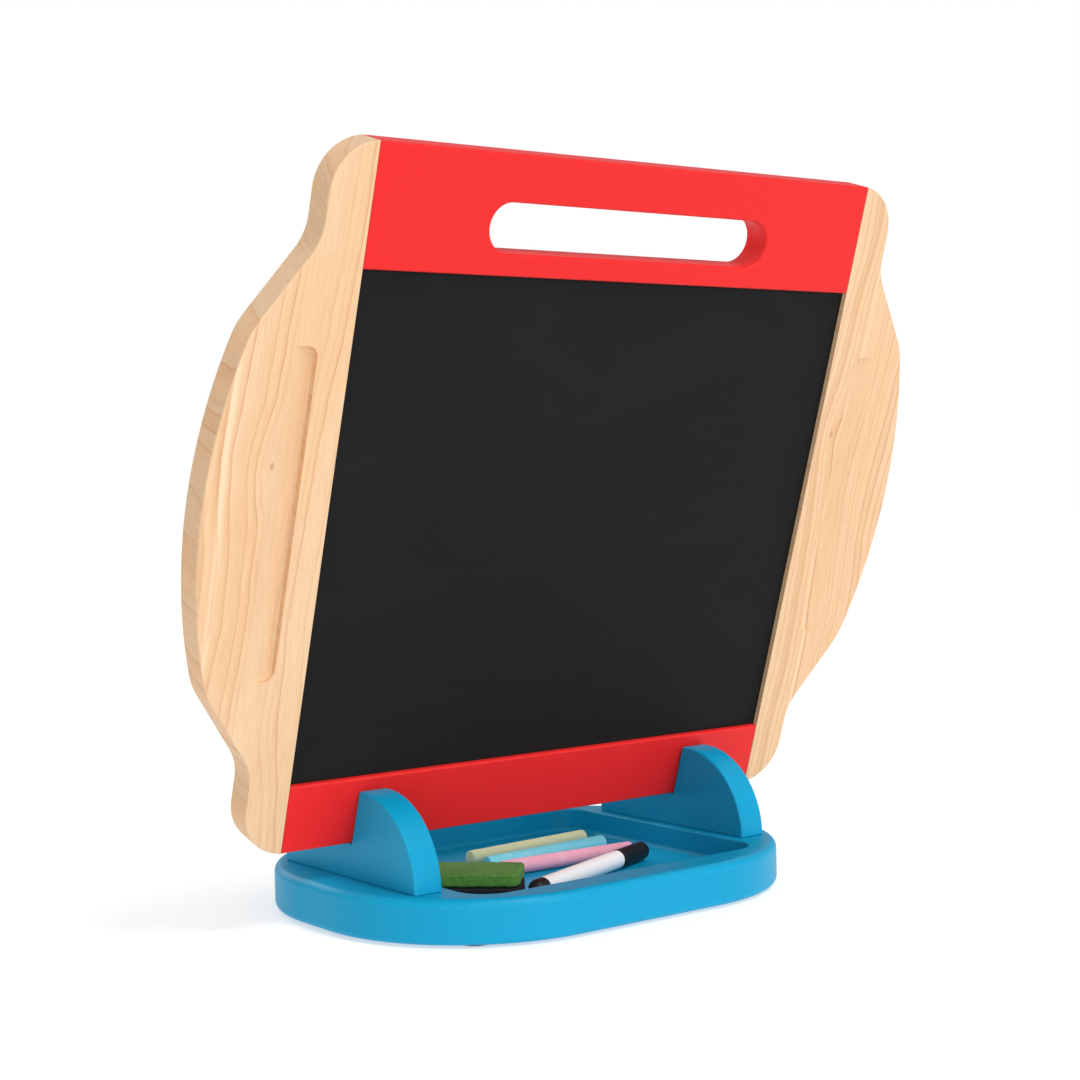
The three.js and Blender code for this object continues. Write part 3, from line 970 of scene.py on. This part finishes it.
@dataclass
class Fins:
    """The two plates whose slanting notches hold the board."""

    paint: Finish
    tray: Tray
    board: "Board"
    round: float = 1.3 * MM
    horn: float = 1.6 * MM

    def build(self) -> None:
        """Builds both fins."""
        for side in Side:
            self.build_fin(side, f"{side.name.lower()}_fin")

    def build_fin(self, side: Side, node: str) -> None:
        """A plate with quarter-round ends and a notch that slants as the board does.

        Args:
            side: Which fin.
            node: Its CAD node.
        """
        low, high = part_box(node)
        deck = low.z - GAP
        tall, half = high.z - deck, high.y
        flat = half - tall
        lean = self.board.lean
        across = Vector((math.cos(lean), math.sin(lean)))
        upwards = Vector((-math.sin(lean), math.cos(lean)))
        foot = Vector((self.board.foot.y, self.board.foot.z - deck)) - upwards * GAP
        front, rear = foot - across * GAP, foot + across * (self.board.thick + GAP)
        mouth = [corner.x - (tall - corner.y) * math.tan(lean) for corner in (rear, front)]
        form = Form()
        pen = Pen(form, half, -3 * self.round).arc((flat, 0), tall, 0, 90, 26).line(mouth[0], tall)
        pen.line(*rear).line(*front).line(mouth[1], tall).arc((-flat, 0), tall, 90, 180, 26)
        pen.line(-half, -3 * self.round).close()
        horns = [v for v in form.bm.verts
                 if min(abs(v.co.x - m) for m in mouth) < TINY and v.co.y > tall - TINY]
        form.bevel(horns, self.horn, 4, "VERTICES")
        thick = high.x - low.x
        form.thicken(thick)
        form.round_over(form.edges(lambda co: co.z < TINY), self.round)
        form.round_over(form.edges(lambda co: co.z > thick - TINY), self.round)
        form.cut_off(Vector((0, low.z - deck, 0)), Vector((0, -1, 0)))
        form.place(Matrix.Translation((low.x, 0, deck)) @ Turn.ACROSS.value)
        top = self.tray.low.z + self.tray.screw_length + MM
        centres = [c for c in self.tray.screws.values() if c.x * side.value > 0]
        form.carve(*(screw_hole(self.tray, centre, top) for centre in centres))
        form.piece(f"{node}_plate", self.paint, node)


@dataclass
class Board:
    """The leaning board. It is drawn flat: X across, Y up the board, and its front face at Z = 0."""

    red: Finish
    lean: float = math.radians(17.4)
    thick: float = 18 * MM
    tall: float = 390 * MM
    opening: float = 174 * MM  # half the width between the side rails
    bottom_rail: float = 40 * MM
    top_rail: float = 65 * MM
    slot_half: float = 99.2 * MM
    slot_radius: float = 13.4 * MM
    slot_up: float = 350.8 * MM
    sunk: float = 3.65 * MM
    sheet: float = 5.2 * MM
    tongue: float = 8 * MM
    peg_radius: float = 4 * MM
    peg_length: float = 24 * MM
    face_round: float = 1.6 * MM
    long_round: float = 1.3 * MM
    end_round: float = 0.35 * MM
    sheet_corner: float = 1.5 * MM
    sheet_round: float = 0.4 * MM

    def __post_init__(self) -> None:
        """Reads the board's place from the frame."""
        low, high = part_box("bottom_rail")
        self.foot = Vector((0, high.y - self.thick * math.cos(self.lean), low.z))
        self.matrix = Matrix.Translation(self.foot) @ Matrix.Rotation(math.pi / 2 + self.lean, 4, "X")
        self.pegs = {n: self.matrix.inverted() @ (sum(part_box(n), Vector()) / 2)
                     for n in frame["nodes"] if "_dowel_" in n}

    def hollows(self) -> list[Form]:
        """The groove for the sheets and the holes for the pegs, as cutting tools."""
        low, high = self.bottom_rail - self.tongue - GAP, self.tall - self.top_rail + self.tongue + GAP
        half = (self.opening + self.tongue + GAP, (high - low) / 2, self.thick / 2 - self.sunk + GAP)
        tools = [block(half, (0, (low + high) / 2, -self.thick / 2))]
        for centre in self.pegs.values():
            reach, radius = self.peg_length / 2 + 2 * GAP, self.peg_radius + GAP
            hole = Form().spun([(-reach, 0), (-reach, radius), (reach, radius), (reach, 0)], 24)
            tools.append(hole.place(Matrix.Translation(centre)))
        return tools

    def build_rails(self) -> None:
        """The red rails at the top and the bottom."""
        for name, low, high in (("bottom_rail", 0, self.bottom_rail),
                                ("top_rail", self.tall - self.top_rail, self.tall)):
            form = plate((self.opening - GAP / 2, (high - low) / 2), (0, (low + high) / 2), -self.thick,
                         self.thick)
            if name == "top_rail":
                form.carve(plate((self.slot_half, self.slot_radius), (0, self.slot_up), -self.thick - MM,
                                 self.thick + 2 * MM, self.slot_radius - TINY, 20))
            end, slot_end = self.opening - MM, self.slot_half + MM
            faces = form.edges(lambda co: abs(co.x) < slot_end and self.is_face(co))
            form.round_over(faces, self.face_round, 5)
            long = [e for e in form.edges(lambda co: abs(co.x) > end)
                    if abs(e.verts[0].co.x - e.verts[1].co.x) > MM]
            form.round_over(long, self.long_round)
            ends = form.edges(lambda co: abs(abs(co.x) - self.opening) < 2 * GAP)
            form.round_over(ends, self.end_round, 2)
            form.carve(*self.hollows())
            form.place(self.matrix).piece(f"{name}_painted", self.red, name)

    def is_face(self, co: Vector) -> bool:
        """Whether a point lies on the board's front or back face."""
        return min(abs(co.z), abs(co.z + self.thick)) < TINY

    def build_sheets(self, front: Finish, back: Finish) -> None:
        """The chalkboard and, behind it, the white board.

        Args:
            front: The chalkboard's finish.
            back: The white board's finish.
        """
        low, high = self.bottom_rail - self.tongue, self.tall - self.top_rail + self.tongue
        for name, finish, z in (("chalkboard_panel", front, -self.sunk - self.sheet),
                                ("whiteboard_panel", back, self.sunk - self.thick)):
            form = plate((self.opening + self.tongue, (high - low) / 2), (0, (low + high) / 2), z, self.sheet,
                         self.sheet_corner, 3)
            form.round_over(form.edges(lambda co: True, SQUARE), self.sheet_round, 2)
            form.place(self.matrix).piece(f"{name}_sheet", finish, name)

    def build_pegs(self, beech: Finish) -> None:
        """Fluted dowels that join the rails."""
        half, radius, flutes = self.peg_length / 2, self.peg_radius, 12
        end, nose = half - 1.2 * MM, radius - 0.9 * MM
        for name, centre in self.pegs.items():
            profile = [(-half, 0), (-half, nose), (-end, radius), (end, radius), (half, nose), (half, 0)]
            form = Form().spun(profile, 2 * flutes)
            for vert in form.bm.verts:
                turn = math.atan2(vert.co.z, vert.co.y) * flutes / math.pi
                if round(turn) % 2 and vert.co.yz.length > radius / 2:
                    vert.co.yz *= 0.93
            form.place(self.matrix @ Matrix.Translation(centre)).piece(f"{name}_fluted", beech, name)


@dataclass
class SideRails:
    """The shaped maple rails on either side of the board, with a finger grip on each face."""

    board: Board
    maple: Finish
    neck: float = 199.4 * MM
    corner: float = 28 * MM
    bulge: float = 248.2 * MM
    bulge_radius: float = 310 * MM
    bulge_half: float = 90 * MM
    shoulder: float = 45 * MM
    hollow: float = 30 * MM
    slope: float = 35.5  # degrees
    grip_x: float = 193.5 * MM
    grip_low: float = 104 * MM
    grip_high: float = 285 * MM
    grip_deep: float = 5 * MM
    grip_rim: float = 219 * MM
    grip_radius: float = 520 * MM
    grip_corner: float = 6 * MM
    grip_fillet: float = 1.8 * MM
    grip_lift: float = 0.12 * MM  # the floor's far edge runs out just above the face
    rim_round: float = 1.2 * MM
    seam_round: float = 0.4 * MM

    def outline(self) -> Form:
        """The right rail's outline, filled."""
        b = self.board
        middle, inner = b.tall / 2, b.opening + GAP / 2
        swing = math.degrees(math.asin(self.bulge_half / self.bulge_radius))
        reach = self.bulge_radius - self.shoulder
        centre_x = self.bulge - self.bulge_radius
        shoulder_x = centre_x + reach * math.cos(math.radians(swing))
        shoulder_y = reach * math.sin(math.radians(swing))
        slope = math.radians(self.slope)
        hollow_x, both = self.neck + self.hollow, self.shoulder + self.hollow
        straight = shoulder_x - hollow_x + both * math.cos(slope)
        hollow_y = shoulder_y + both * math.sin(slope) + straight / math.tan(slope)
        round_x = self.neck - self.corner
        meet = math.degrees(math.acos((inner - round_x) / self.corner))
        pen = Pen(Form(), inner, middle)
        pen.arc((round_x, self.corner), self.corner, -meet, 0, 16)
        pen.arc((hollow_x, middle - hollow_y), self.hollow, 180, 180 - self.slope, 10)
        pen.arc((shoulder_x, middle - shoulder_y), self.shoulder, -self.slope, -swing, 8)
        pen.arc((centre_x, middle), self.bulge_radius, -swing, swing, 40)
        pen.arc((shoulder_x, middle + shoulder_y), self.shoulder, swing, self.slope, 8)
        pen.arc((hollow_x, middle + hollow_y), self.hollow, 180 + self.slope, 180, 10)
        pen.arc((round_x, b.tall - self.corner), self.corner, 0, meet, 16)
        return pen.close()

    def grip(self) -> Form:
        """The front grip's room: a straight wall beside the panel and a floor that sweeps up to the face."""
        middle, half = (self.grip_low + self.grip_high) / 2, (self.grip_high - self.grip_low) / 2
        margin, top, past = MM, 3 * MM, 1.02  # past: the grid goes that far beyond the rim
        wide = self.grip_rim - self.grip_x
        form = Form()
        grid = bmesh.ops.create_grid(form.bm, x_segments=44, y_segments=150, size=1)["verts"]
        for vert in grid:
            x = self.grip_x + wide * (vert.co.x + 1) / 2 * past - margin * (1 - vert.co.x) / 2
            y = vert.co.y * (half + margin)
            vert.co = (x, middle + y, self.grip_floor(x, y, half))
        made = bmesh.ops.extrude_face_region(form.bm, geom=form.bm.faces[:], use_keep_orig=True)
        for vert in only(BMVert, made["geom"]):
            vert.co.z = top
        form.turn_out()
        form.carve(plate((half, half), (self.grip_x + half, middle), -self.grip_deep - MM,
                         self.grip_deep + top, self.grip_corner, 10), common=True)
        return form

    def grip_floor(self, x: float, y: float, half: float) -> float:
        """How high a grip's floor is, below the face.

        Args:
            x: Where across.
            y: Where along, from the grip's middle.
            half: Half the grip's length.

        Returns:
            The height, which is negative where there is a hollow.
        """
        centre, deep = self.grip_rim - self.grip_radius, self.grip_deep
        swept = (math.hypot(x - centre, y) + centre - self.grip_x) / (self.grip_rim - self.grip_x)
        share = min(max(swept, 0.0), 1.0)
        floor = -deep * (1 + math.cos(math.pi * share)) / 2 + self.grip_lift * share
        corner, fillet = self.grip_corner, self.grip_fillet
        inset = (max(corner - (x - self.grip_x), 0.0), max(corner - (half - abs(y)), 0.0))
        wall = corner - math.hypot(*inset)
        if wall < fillet:
            reach = fillet - max(wall, 0.0)
            floor += (fillet - math.sqrt(fillet ** 2 - reach ** 2)) * min(1, -floor / deep)
        return floor

    def build(self) -> None:
        """Builds both rails."""
        b = self.board
        form = self.outline()
        form.place(Matrix.Translation((0, 0, -b.thick)))
        form.thicken(b.thick)
        inner = b.opening + GAP
        form.round_over(form.edges(lambda co: co.x > inner and b.is_face(co)), self.rim_round)
        form.round_over(form.edges(lambda co: co.x < inner and b.is_face(co)), self.seam_round, 2)
        front = self.grip()
        back = self.grip().place(Matrix.Translation((0, 0, -b.thick)) @ Matrix.Scale(-1, 4, (0, 0, 1)))
        bmesh.ops.reverse_faces(back.bm, faces=back.bm.faces)
        form.carve(front, back, *b.hollows())
        for side, rail in ((Side.LEFT, form.mirrored()), (Side.RIGHT, form)):
            node = f"{side.name.lower()}_side_rail"
            rail.place(b.matrix).piece(f"{node}_oiled", self.maple, node)


@dataclass
class Lying:
    """Something that lies in the tray, turned about the vertical."""

    turn: float  # degrees
    nodes: tuple[str, ...]

    def matrix(self) -> Matrix:
        """From a thing drawn along X about its first node's centre to its place in the tray."""
        centre = sum(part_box(self.nodes[0]), Vector()) / 2
        return Matrix.Translation(centre) @ Matrix.Rotation(math.radians(self.turn), 4, "Z")


@dataclass
class Chalk(Lying):
    """A stick of chalk, a little thinner at one end."""

    finish: Finish
    seed: int
    length: float = 96 * MM
    radius: float = 4.65 * MM
    taper: float = 0.25 * MM
    chamfer: float = 0.7 * MM
    nick: float = 0.25 * MM
    crumble: float = 0.006  # how far a grain at an end is knocked in, as a share of its distance

    def build(self) -> None:
        """Turns the stick, then crumbles its ends."""
        half, rings, nick = self.length / 2, 40, self.nick
        profile = [(-half, 0), (-half, self.radius - self.chamfer), (-half + nick, self.radius - nick)]
        for i in range(rings + 1):
            share = i / rings
            along = -half + self.chamfer + share * (self.length - 2 * self.chamfer)
            profile.append((along, self.radius - self.taper * share))
        thin = self.radius - self.taper
        profile += [(half - nick, thin - nick), (half, thin - self.chamfer), (half, 0)]
        form = Form().spun(profile, 40)
        dice = random.Random(self.seed)
        ends = [v for v in form.bm.verts if abs(v.co.x) > half - MM]
        for vert in ends:
            if vert.co.yz.length > self.radius / 2:
                vert.co *= 1 - dice.random() * self.crumble
        ends = [v for v in form.bm.verts if abs(v.co.x) > half - MM]
        bmesh.ops.smooth_vert(form.bm, verts=ends, factor=0.3, use_axis_x=True, use_axis_y=True,
                              use_axis_z=True)
        form.roughen(0.05 * MM, 4 * MM, self.seed)
        form.place(self.matrix()).piece(f"{self.nodes[0]}_stick", self.finish, self.nodes[0])


@dataclass
class Eraser(Lying):
    """A felt block on a black back."""

    back: Finish
    felt: Finish
    length: float = 57 * MM
    depth: float = 36 * MM
    corner: float = 5 * MM
    shrink: tuple[float, float, float] = (0.996, 0.994, 0.94)  # of the felt, once it is lumpy

    def build(self) -> None:
        """Builds the back and the felt."""
        for node, finish, roundness, lumps in ((self.nodes[0], self.back, 1.4 * MM, 0),
                                               (self.nodes[1], self.felt, 1.7 * MM, 0.3 * MM)):
            low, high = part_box(node)
            tall = high.z - low.z
            form = plate((self.length / 2, self.depth / 2), (0, 0), -tall / 2, tall, self.corner)
            form.round_over(form.edges(lambda co: True, SQUARE), roundness, 5)
            if lumps:
                self.soften(form, lumps)
            place = self.matrix()
            place.translation.z = (low.z + high.z) / 2
            form.place(place).piece(f"{node}_block", finish, node)

    def soften(self, form: Form, amount: float) -> None:
        """Gives the felt a fine mesh and soft lumps, and keeps it inside its own size.

        Args:
            form: The felt's plain block.
            amount: How high a large lump may be.
        """
        for axis, half in ((Vector((1, 0, 0)), self.length / 2), (Vector((0, 1, 0)), self.depth / 2)):
            count = int(half / MM)
            for i in range(-count, count + 1):
                form.split(axis * i * MM * 0.98, axis)
        tall = [e for e in form.bm.edges if e.calc_length() > 3 * MM]
        bmesh.ops.subdivide_edges(form.bm, edges=tall, cuts=3, use_grid_fill=True)
        form.roughen(amount, 3.2 * MM, 7)
        form.roughen(amount * 0.5, 0.9 * MM, 11)
        bmesh.ops.scale(form.bm, vec=self.shrink, verts=form.bm.verts)


@dataclass
class Marker(Lying):
    """A dry marker: end plug, barrel, ink core and nib on one body, and the cap that pulls off."""

    black: Finish
    white: Finish
    ink: Finish
    tip: Finish
    barrel: float = 5.5 * MM
    bore: float = 4.3 * MM
    cap: float = 5.85 * MM
    cap_bore: float = 4.9 * MM
    plug_end: float = 11 * MM
    barrel_end: float = 97 * MM
    neck_end: float = 108 * MM
    nib_end: float = 118 * MM
    cap_start: float = 97.3 * MM
    cap_end: float = 130 * MM
    stem: float = 8 * MM  # how far the plug and the nib reach into the barrel
    groove: float = 0.2 * MM
    edge: float = 0.15 * MM
    nib: float = 2.2 * MM

    def build(self) -> None:
        """Turns the five pieces along the marker's own axis."""
        place = self.matrix() @ Matrix.Translation((-sum(self.core_ends()) / 2, 0, 0))
        for node, finish, profile in (
            ("marker_end_plug", self.black, self.plug_profile()),
            ("marker_barrel", self.white, self.barrel_profile()),
            ("marker_ink_core", self.ink, self.core_profile()),
            ("marker_nib", self.tip, self.nib_profile()),
            ("marker_cap", self.black, self.cap_profile()),
        ):
            Form().spun(profile, 56).place(place).piece(f"{node}_turned", finish, node)

    def core_ends(self) -> tuple[float, float]:
        """Where the ink core starts and ends, along the marker."""
        return self.plug_end + self.stem + GAP, self.barrel_end - self.stem

    def plug_profile(self) -> list[tuple[float, float]]:
        """A rounded end with a groove, and a stem inside the barrel."""
        dome = [(self.barrel * (1 - math.cos(a)) * 0.95, self.barrel * math.sin(a))
                for a in (math.radians(10 * i) for i in range(10))]
        end, stem, r = self.plug_end, self.bore - GAP, self.barrel
        groove = [(end - 2.2 * MM, r), (end - 2 * MM, r - self.groove), (end - 1.6 * MM, r - self.groove),
                  (end - 1.4 * MM, r)]
        return dome + groove + [(end - self.edge, r), (end, r - self.edge), (end, stem),
                                (end + self.stem - 0.5 * MM, stem), (end + self.stem, stem - 0.5 * MM),
                                (end + self.stem, 0)]

    def barrel_profile(self) -> list[tuple[float, float]]:
        """A straight tube that narrows to the neck and holds the core and the nib."""
        start, neck, nib = self.plug_end + GAP, 3.9 * MM, self.nib + GAP
        end, r = self.barrel_end, self.barrel
        outside = [(start, self.bore), (start, r - self.edge), (start + self.edge, r), (end - 0.6 * MM, r),
                   (end - 0.2 * MM, r - 0.2 * MM), (end, r - 0.6 * MM), (end, neck),
                   (self.neck_end - 0.6 * MM, neck - 0.35 * MM), (self.neck_end, neck - 0.9 * MM)]
        inside = [(self.neck_end, nib), (end - 4 * MM, nib), (end - 6 * MM, self.bore), (start, self.bore)]
        return outside + inside

    def core_profile(self) -> list[tuple[float, float]]:
        """The ink reservoir."""
        (start, end), radius, edge = self.core_ends(), self.bore - GAP, 0.3 * MM
        return [(start, 0), (start, radius - edge), (start + edge, radius), (end - edge, radius),
                (end, radius - edge), (end, 0)]

    def nib_profile(self) -> list[tuple[float, float]]:
        """The writing tip, a bullet."""
        start, radius, tip = self.core_ends()[1] + GAP, self.nib, self.nib_end
        bullet = [(tip - 3.2 * MM * (1 - math.sin(a)), radius * math.cos(a) ** 0.8)
                  for a in (math.radians(12 * i) for i in range(7))]
        return [(start, 0), (start, radius), *bullet, (tip, 0)]

    def cap_profile(self) -> list[tuple[float, float]]:
        """A cup with a fine bead at its mouth and a rounded end."""
        start, end, r, bore = self.cap_start, self.cap_end, self.cap, self.cap_bore
        outside = [(start, bore), (start, r - 0.25 * MM), (start + 0.25 * MM, r), (start + 1.6 * MM, r),
                   (start + 2 * MM, r - 0.2 * MM)]
        dome = [(end - 4 * MM + 4 * MM * math.sin(a), (r - 0.3 * MM) * (0.25 + 0.75 * math.cos(a) ** 0.6))
                for a in (math.radians(10 * i) for i in range(9))]
        inside = [(end, 0), (end - 1.2 * MM, 0), (end - 4.5 * MM, bore - 1.2 * MM), (end - 8 * MM, bore),
                  (start, bore)]
        return outside + dome + inside


# ------------------------------------------------------------------------------ studio
@dataclass
class Studio:
    """A pale floor, soft lights and the camera."""

    eye: Vector
    yaw: float = 37.568  # degrees, to the right of +Y
    pitch: float = -2.2526
    roll: float = -1.1899
    lens: float = 66.466
    sensor: float = 36.0  # mm wide, as the lens is
    reach: float = 6.0  # half the floor's size
    glow: float = 0.52  # of the floor
    sky_light: float = 0.5  # how much of the pale sky's brightness falls on the easel

    def build(self) -> None:
        """Builds the floor, the lights and the camera."""
        self.build_floor()
        self.build_lights()
        self.build_camera()

    def build_floor(self) -> None:
        """A pale sheet that the easel stands on."""
        form = Form()
        form.rectangle(self.reach, self.reach, -0.02 * MM)
        floor = form.loose("floor")
        graph = Graph("pale_floor")
        cloud = graph.clouds(graph.place(), 3, 3)
        colour = graph.mix((0.62, 0.62, 0.62), (0.6, 0.6, 0.6), cloud * 0.5)
        finish = graph.surface(colour, 0.9, Specular_IOR_Level=0.0, Emission_Color=(1.0, 1.0, 1.0),
                               Emission_Strength=self.glow)
        floor.data.materials.append(finish)

    def build_lights(self) -> None:
        """Wide soft lights as from large windows, and a pale sky that lights less than it shows."""
        for name, turn, height, width, power in (  # degrees, and W/m2
            ("above_front", 10, 55, 22, 1.35),
            ("front", 8, 13, 30, 0.75),
            ("beside_camera", -38, 10, 30, 0.45),
            ("behind", 180, 32, 40, 0.7),
        ):
            lamp = bpy.data.lights.new(name, "SUN")
            lamp.angle = math.radians(width)
            lamp.energy = power
            turned = Matrix.Rotation(math.radians(turn), 4, "Z")
            tipped = Matrix.Rotation(math.radians(90 - height), 4, "X")
            link(name, lamp).matrix_world = Matrix.Translation((0, -1, 2)) @ turned @ tipped
        world = bpy.data.worlds.new("sky")
        bpy.context.scene.world = world
        world.use_nodes = True
        sky = world.node_tree.nodes["Background"]
        sky.inputs["Color"].default_value = (1, 1, 1, 1)
        seen = world.node_tree.nodes.new("ShaderNodeLightPath").outputs["Is Camera Ray"]
        strength = world.node_tree.nodes.new("ShaderNodeMapRange")
        strength.inputs["To Min"].default_value = self.sky_light
        strength.inputs["To Max"].default_value = 1.0
        world.node_tree.links.new(seen, strength.inputs["Value"])
        world.node_tree.links.new(strength.outputs["Result"], sky.inputs["Strength"])

    def build_camera(self) -> None:
        """The camera in front of the easel and to its left."""
        yaw, pitch, roll = (math.radians(a) for a in (self.yaw, self.pitch, self.roll))
        look = Vector((math.sin(yaw) * math.cos(pitch), math.cos(yaw) * math.cos(pitch), math.sin(pitch)))
        right = Vector((math.cos(yaw), -math.sin(yaw), 0))
        above = right.cross(look)
        tilt = Matrix((right, above, -look)).transposed() @ Matrix.Rotation(roll, 3, "Z")
        camera = bpy.data.cameras.new("camera")
        camera.lens = self.lens
        camera.sensor_width = self.sensor
        made = link("camera", camera)
        made.matrix_world = Matrix.Translation(self.eye) @ tilt.to_4x4()
        bpy.context.scene.camera = made
        bpy.context.scene.view_settings.view_transform = "Standard"


# ------------------------------------------------------------------------------ the whole easel
def main() -> None:
    """Builds the easel piece by piece, and its studio."""
    logging.basicConfig(level=logging.INFO, format="%(message)s")
    blue = Paint("blue_paint", (0.001, 0.31, 0.54), (0.003, 0.35, 0.60))
    red = Paint("red_paint", (0.735, 0.018, 0.018), (0.775, 0.032, 0.03))
    tray = Tray(blue, Plastic("pad_rubber", (0.03, 0.03, 0.032), (0.09, 0.09, 0.09), 0.8, 500),
                Steel("screw_steel"))
    board = Board(red)
    maple = Maple("maple", board.matrix, pale=(0.775, 0.55, 0.338), warm=(0.75, 0.465, 0.245),
                  line=(0.55, 0.23, 0.075), edge=(0.70, 0.49, 0.31),
                  streaks=((-0.2365, 0.0035), (0.199, 0.0025)), knots=((-0.211, 0.222), (0.186, 0.236)))
    tray.build()
    Fins(blue, tray, board).build()
    board.build_rails()
    SideRails(board, maple).build()
    slate = Slate("chalkboard", (0.0082, 0.0084, 0.0088), (0.026, 0.027, 0.028))
    board.build_sheets(slate, Dryboard("whiteboard"))
    board.build_pegs(PlainWood("beech", (0.66, 0.43, 0.24), (0.42, 0.22, 0.1), (40, 700, 700)))
    for seed, (name, turn, colour) in enumerate((
        ("yellow", 4.7, (0.90, 0.92, 0.55)),
        ("blue", 4.1, (0.24, 0.74, 0.88)),
        ("pink", -3.0, (0.80, 0.37, 0.49)),
    )):
        finish = ChalkStick(f"{name}_chalk", colour, tuple(0.5 + c / 2 for c in colour))
        Chalk(turn, (f"chalk_{name}",), finish, seed).build()
    Eraser(-43, ("eraser_back", "eraser_felt"),
           Plastic("black_foam", (0.007, 0.007, 0.008), (0.03, 0.03, 0.03), 0.75, 400),
           Felt("green_felt", (0.10, 0.27, 0.045), (0.04, 0.12, 0.02), (0.22, 0.42, 0.10))).build()
    Marker(21, ("marker_ink_core",),
           Plastic("black_plastic", (0.009, 0.0095, 0.011), (0.04, 0.04, 0.04), 0.45),
           Plastic("white_plastic", (0.93, 0.91, 0.92), (0.78, 0.78, 0.78), 0.35),
           PlainWood("ink_fibre", (0.8, 0.78, 0.72), (0.3, 0.3, 0.32), (60, 1500, 1500)),
           Felt("nib_felt", (0.012, 0.012, 0.014), (0.004, 0.004, 0.005), (0.03, 0.03, 0.035))).build()
    Studio(Vector((-0.71956, -0.95207, 0.25824))).build()


if __name__ == "__main__":
    main()
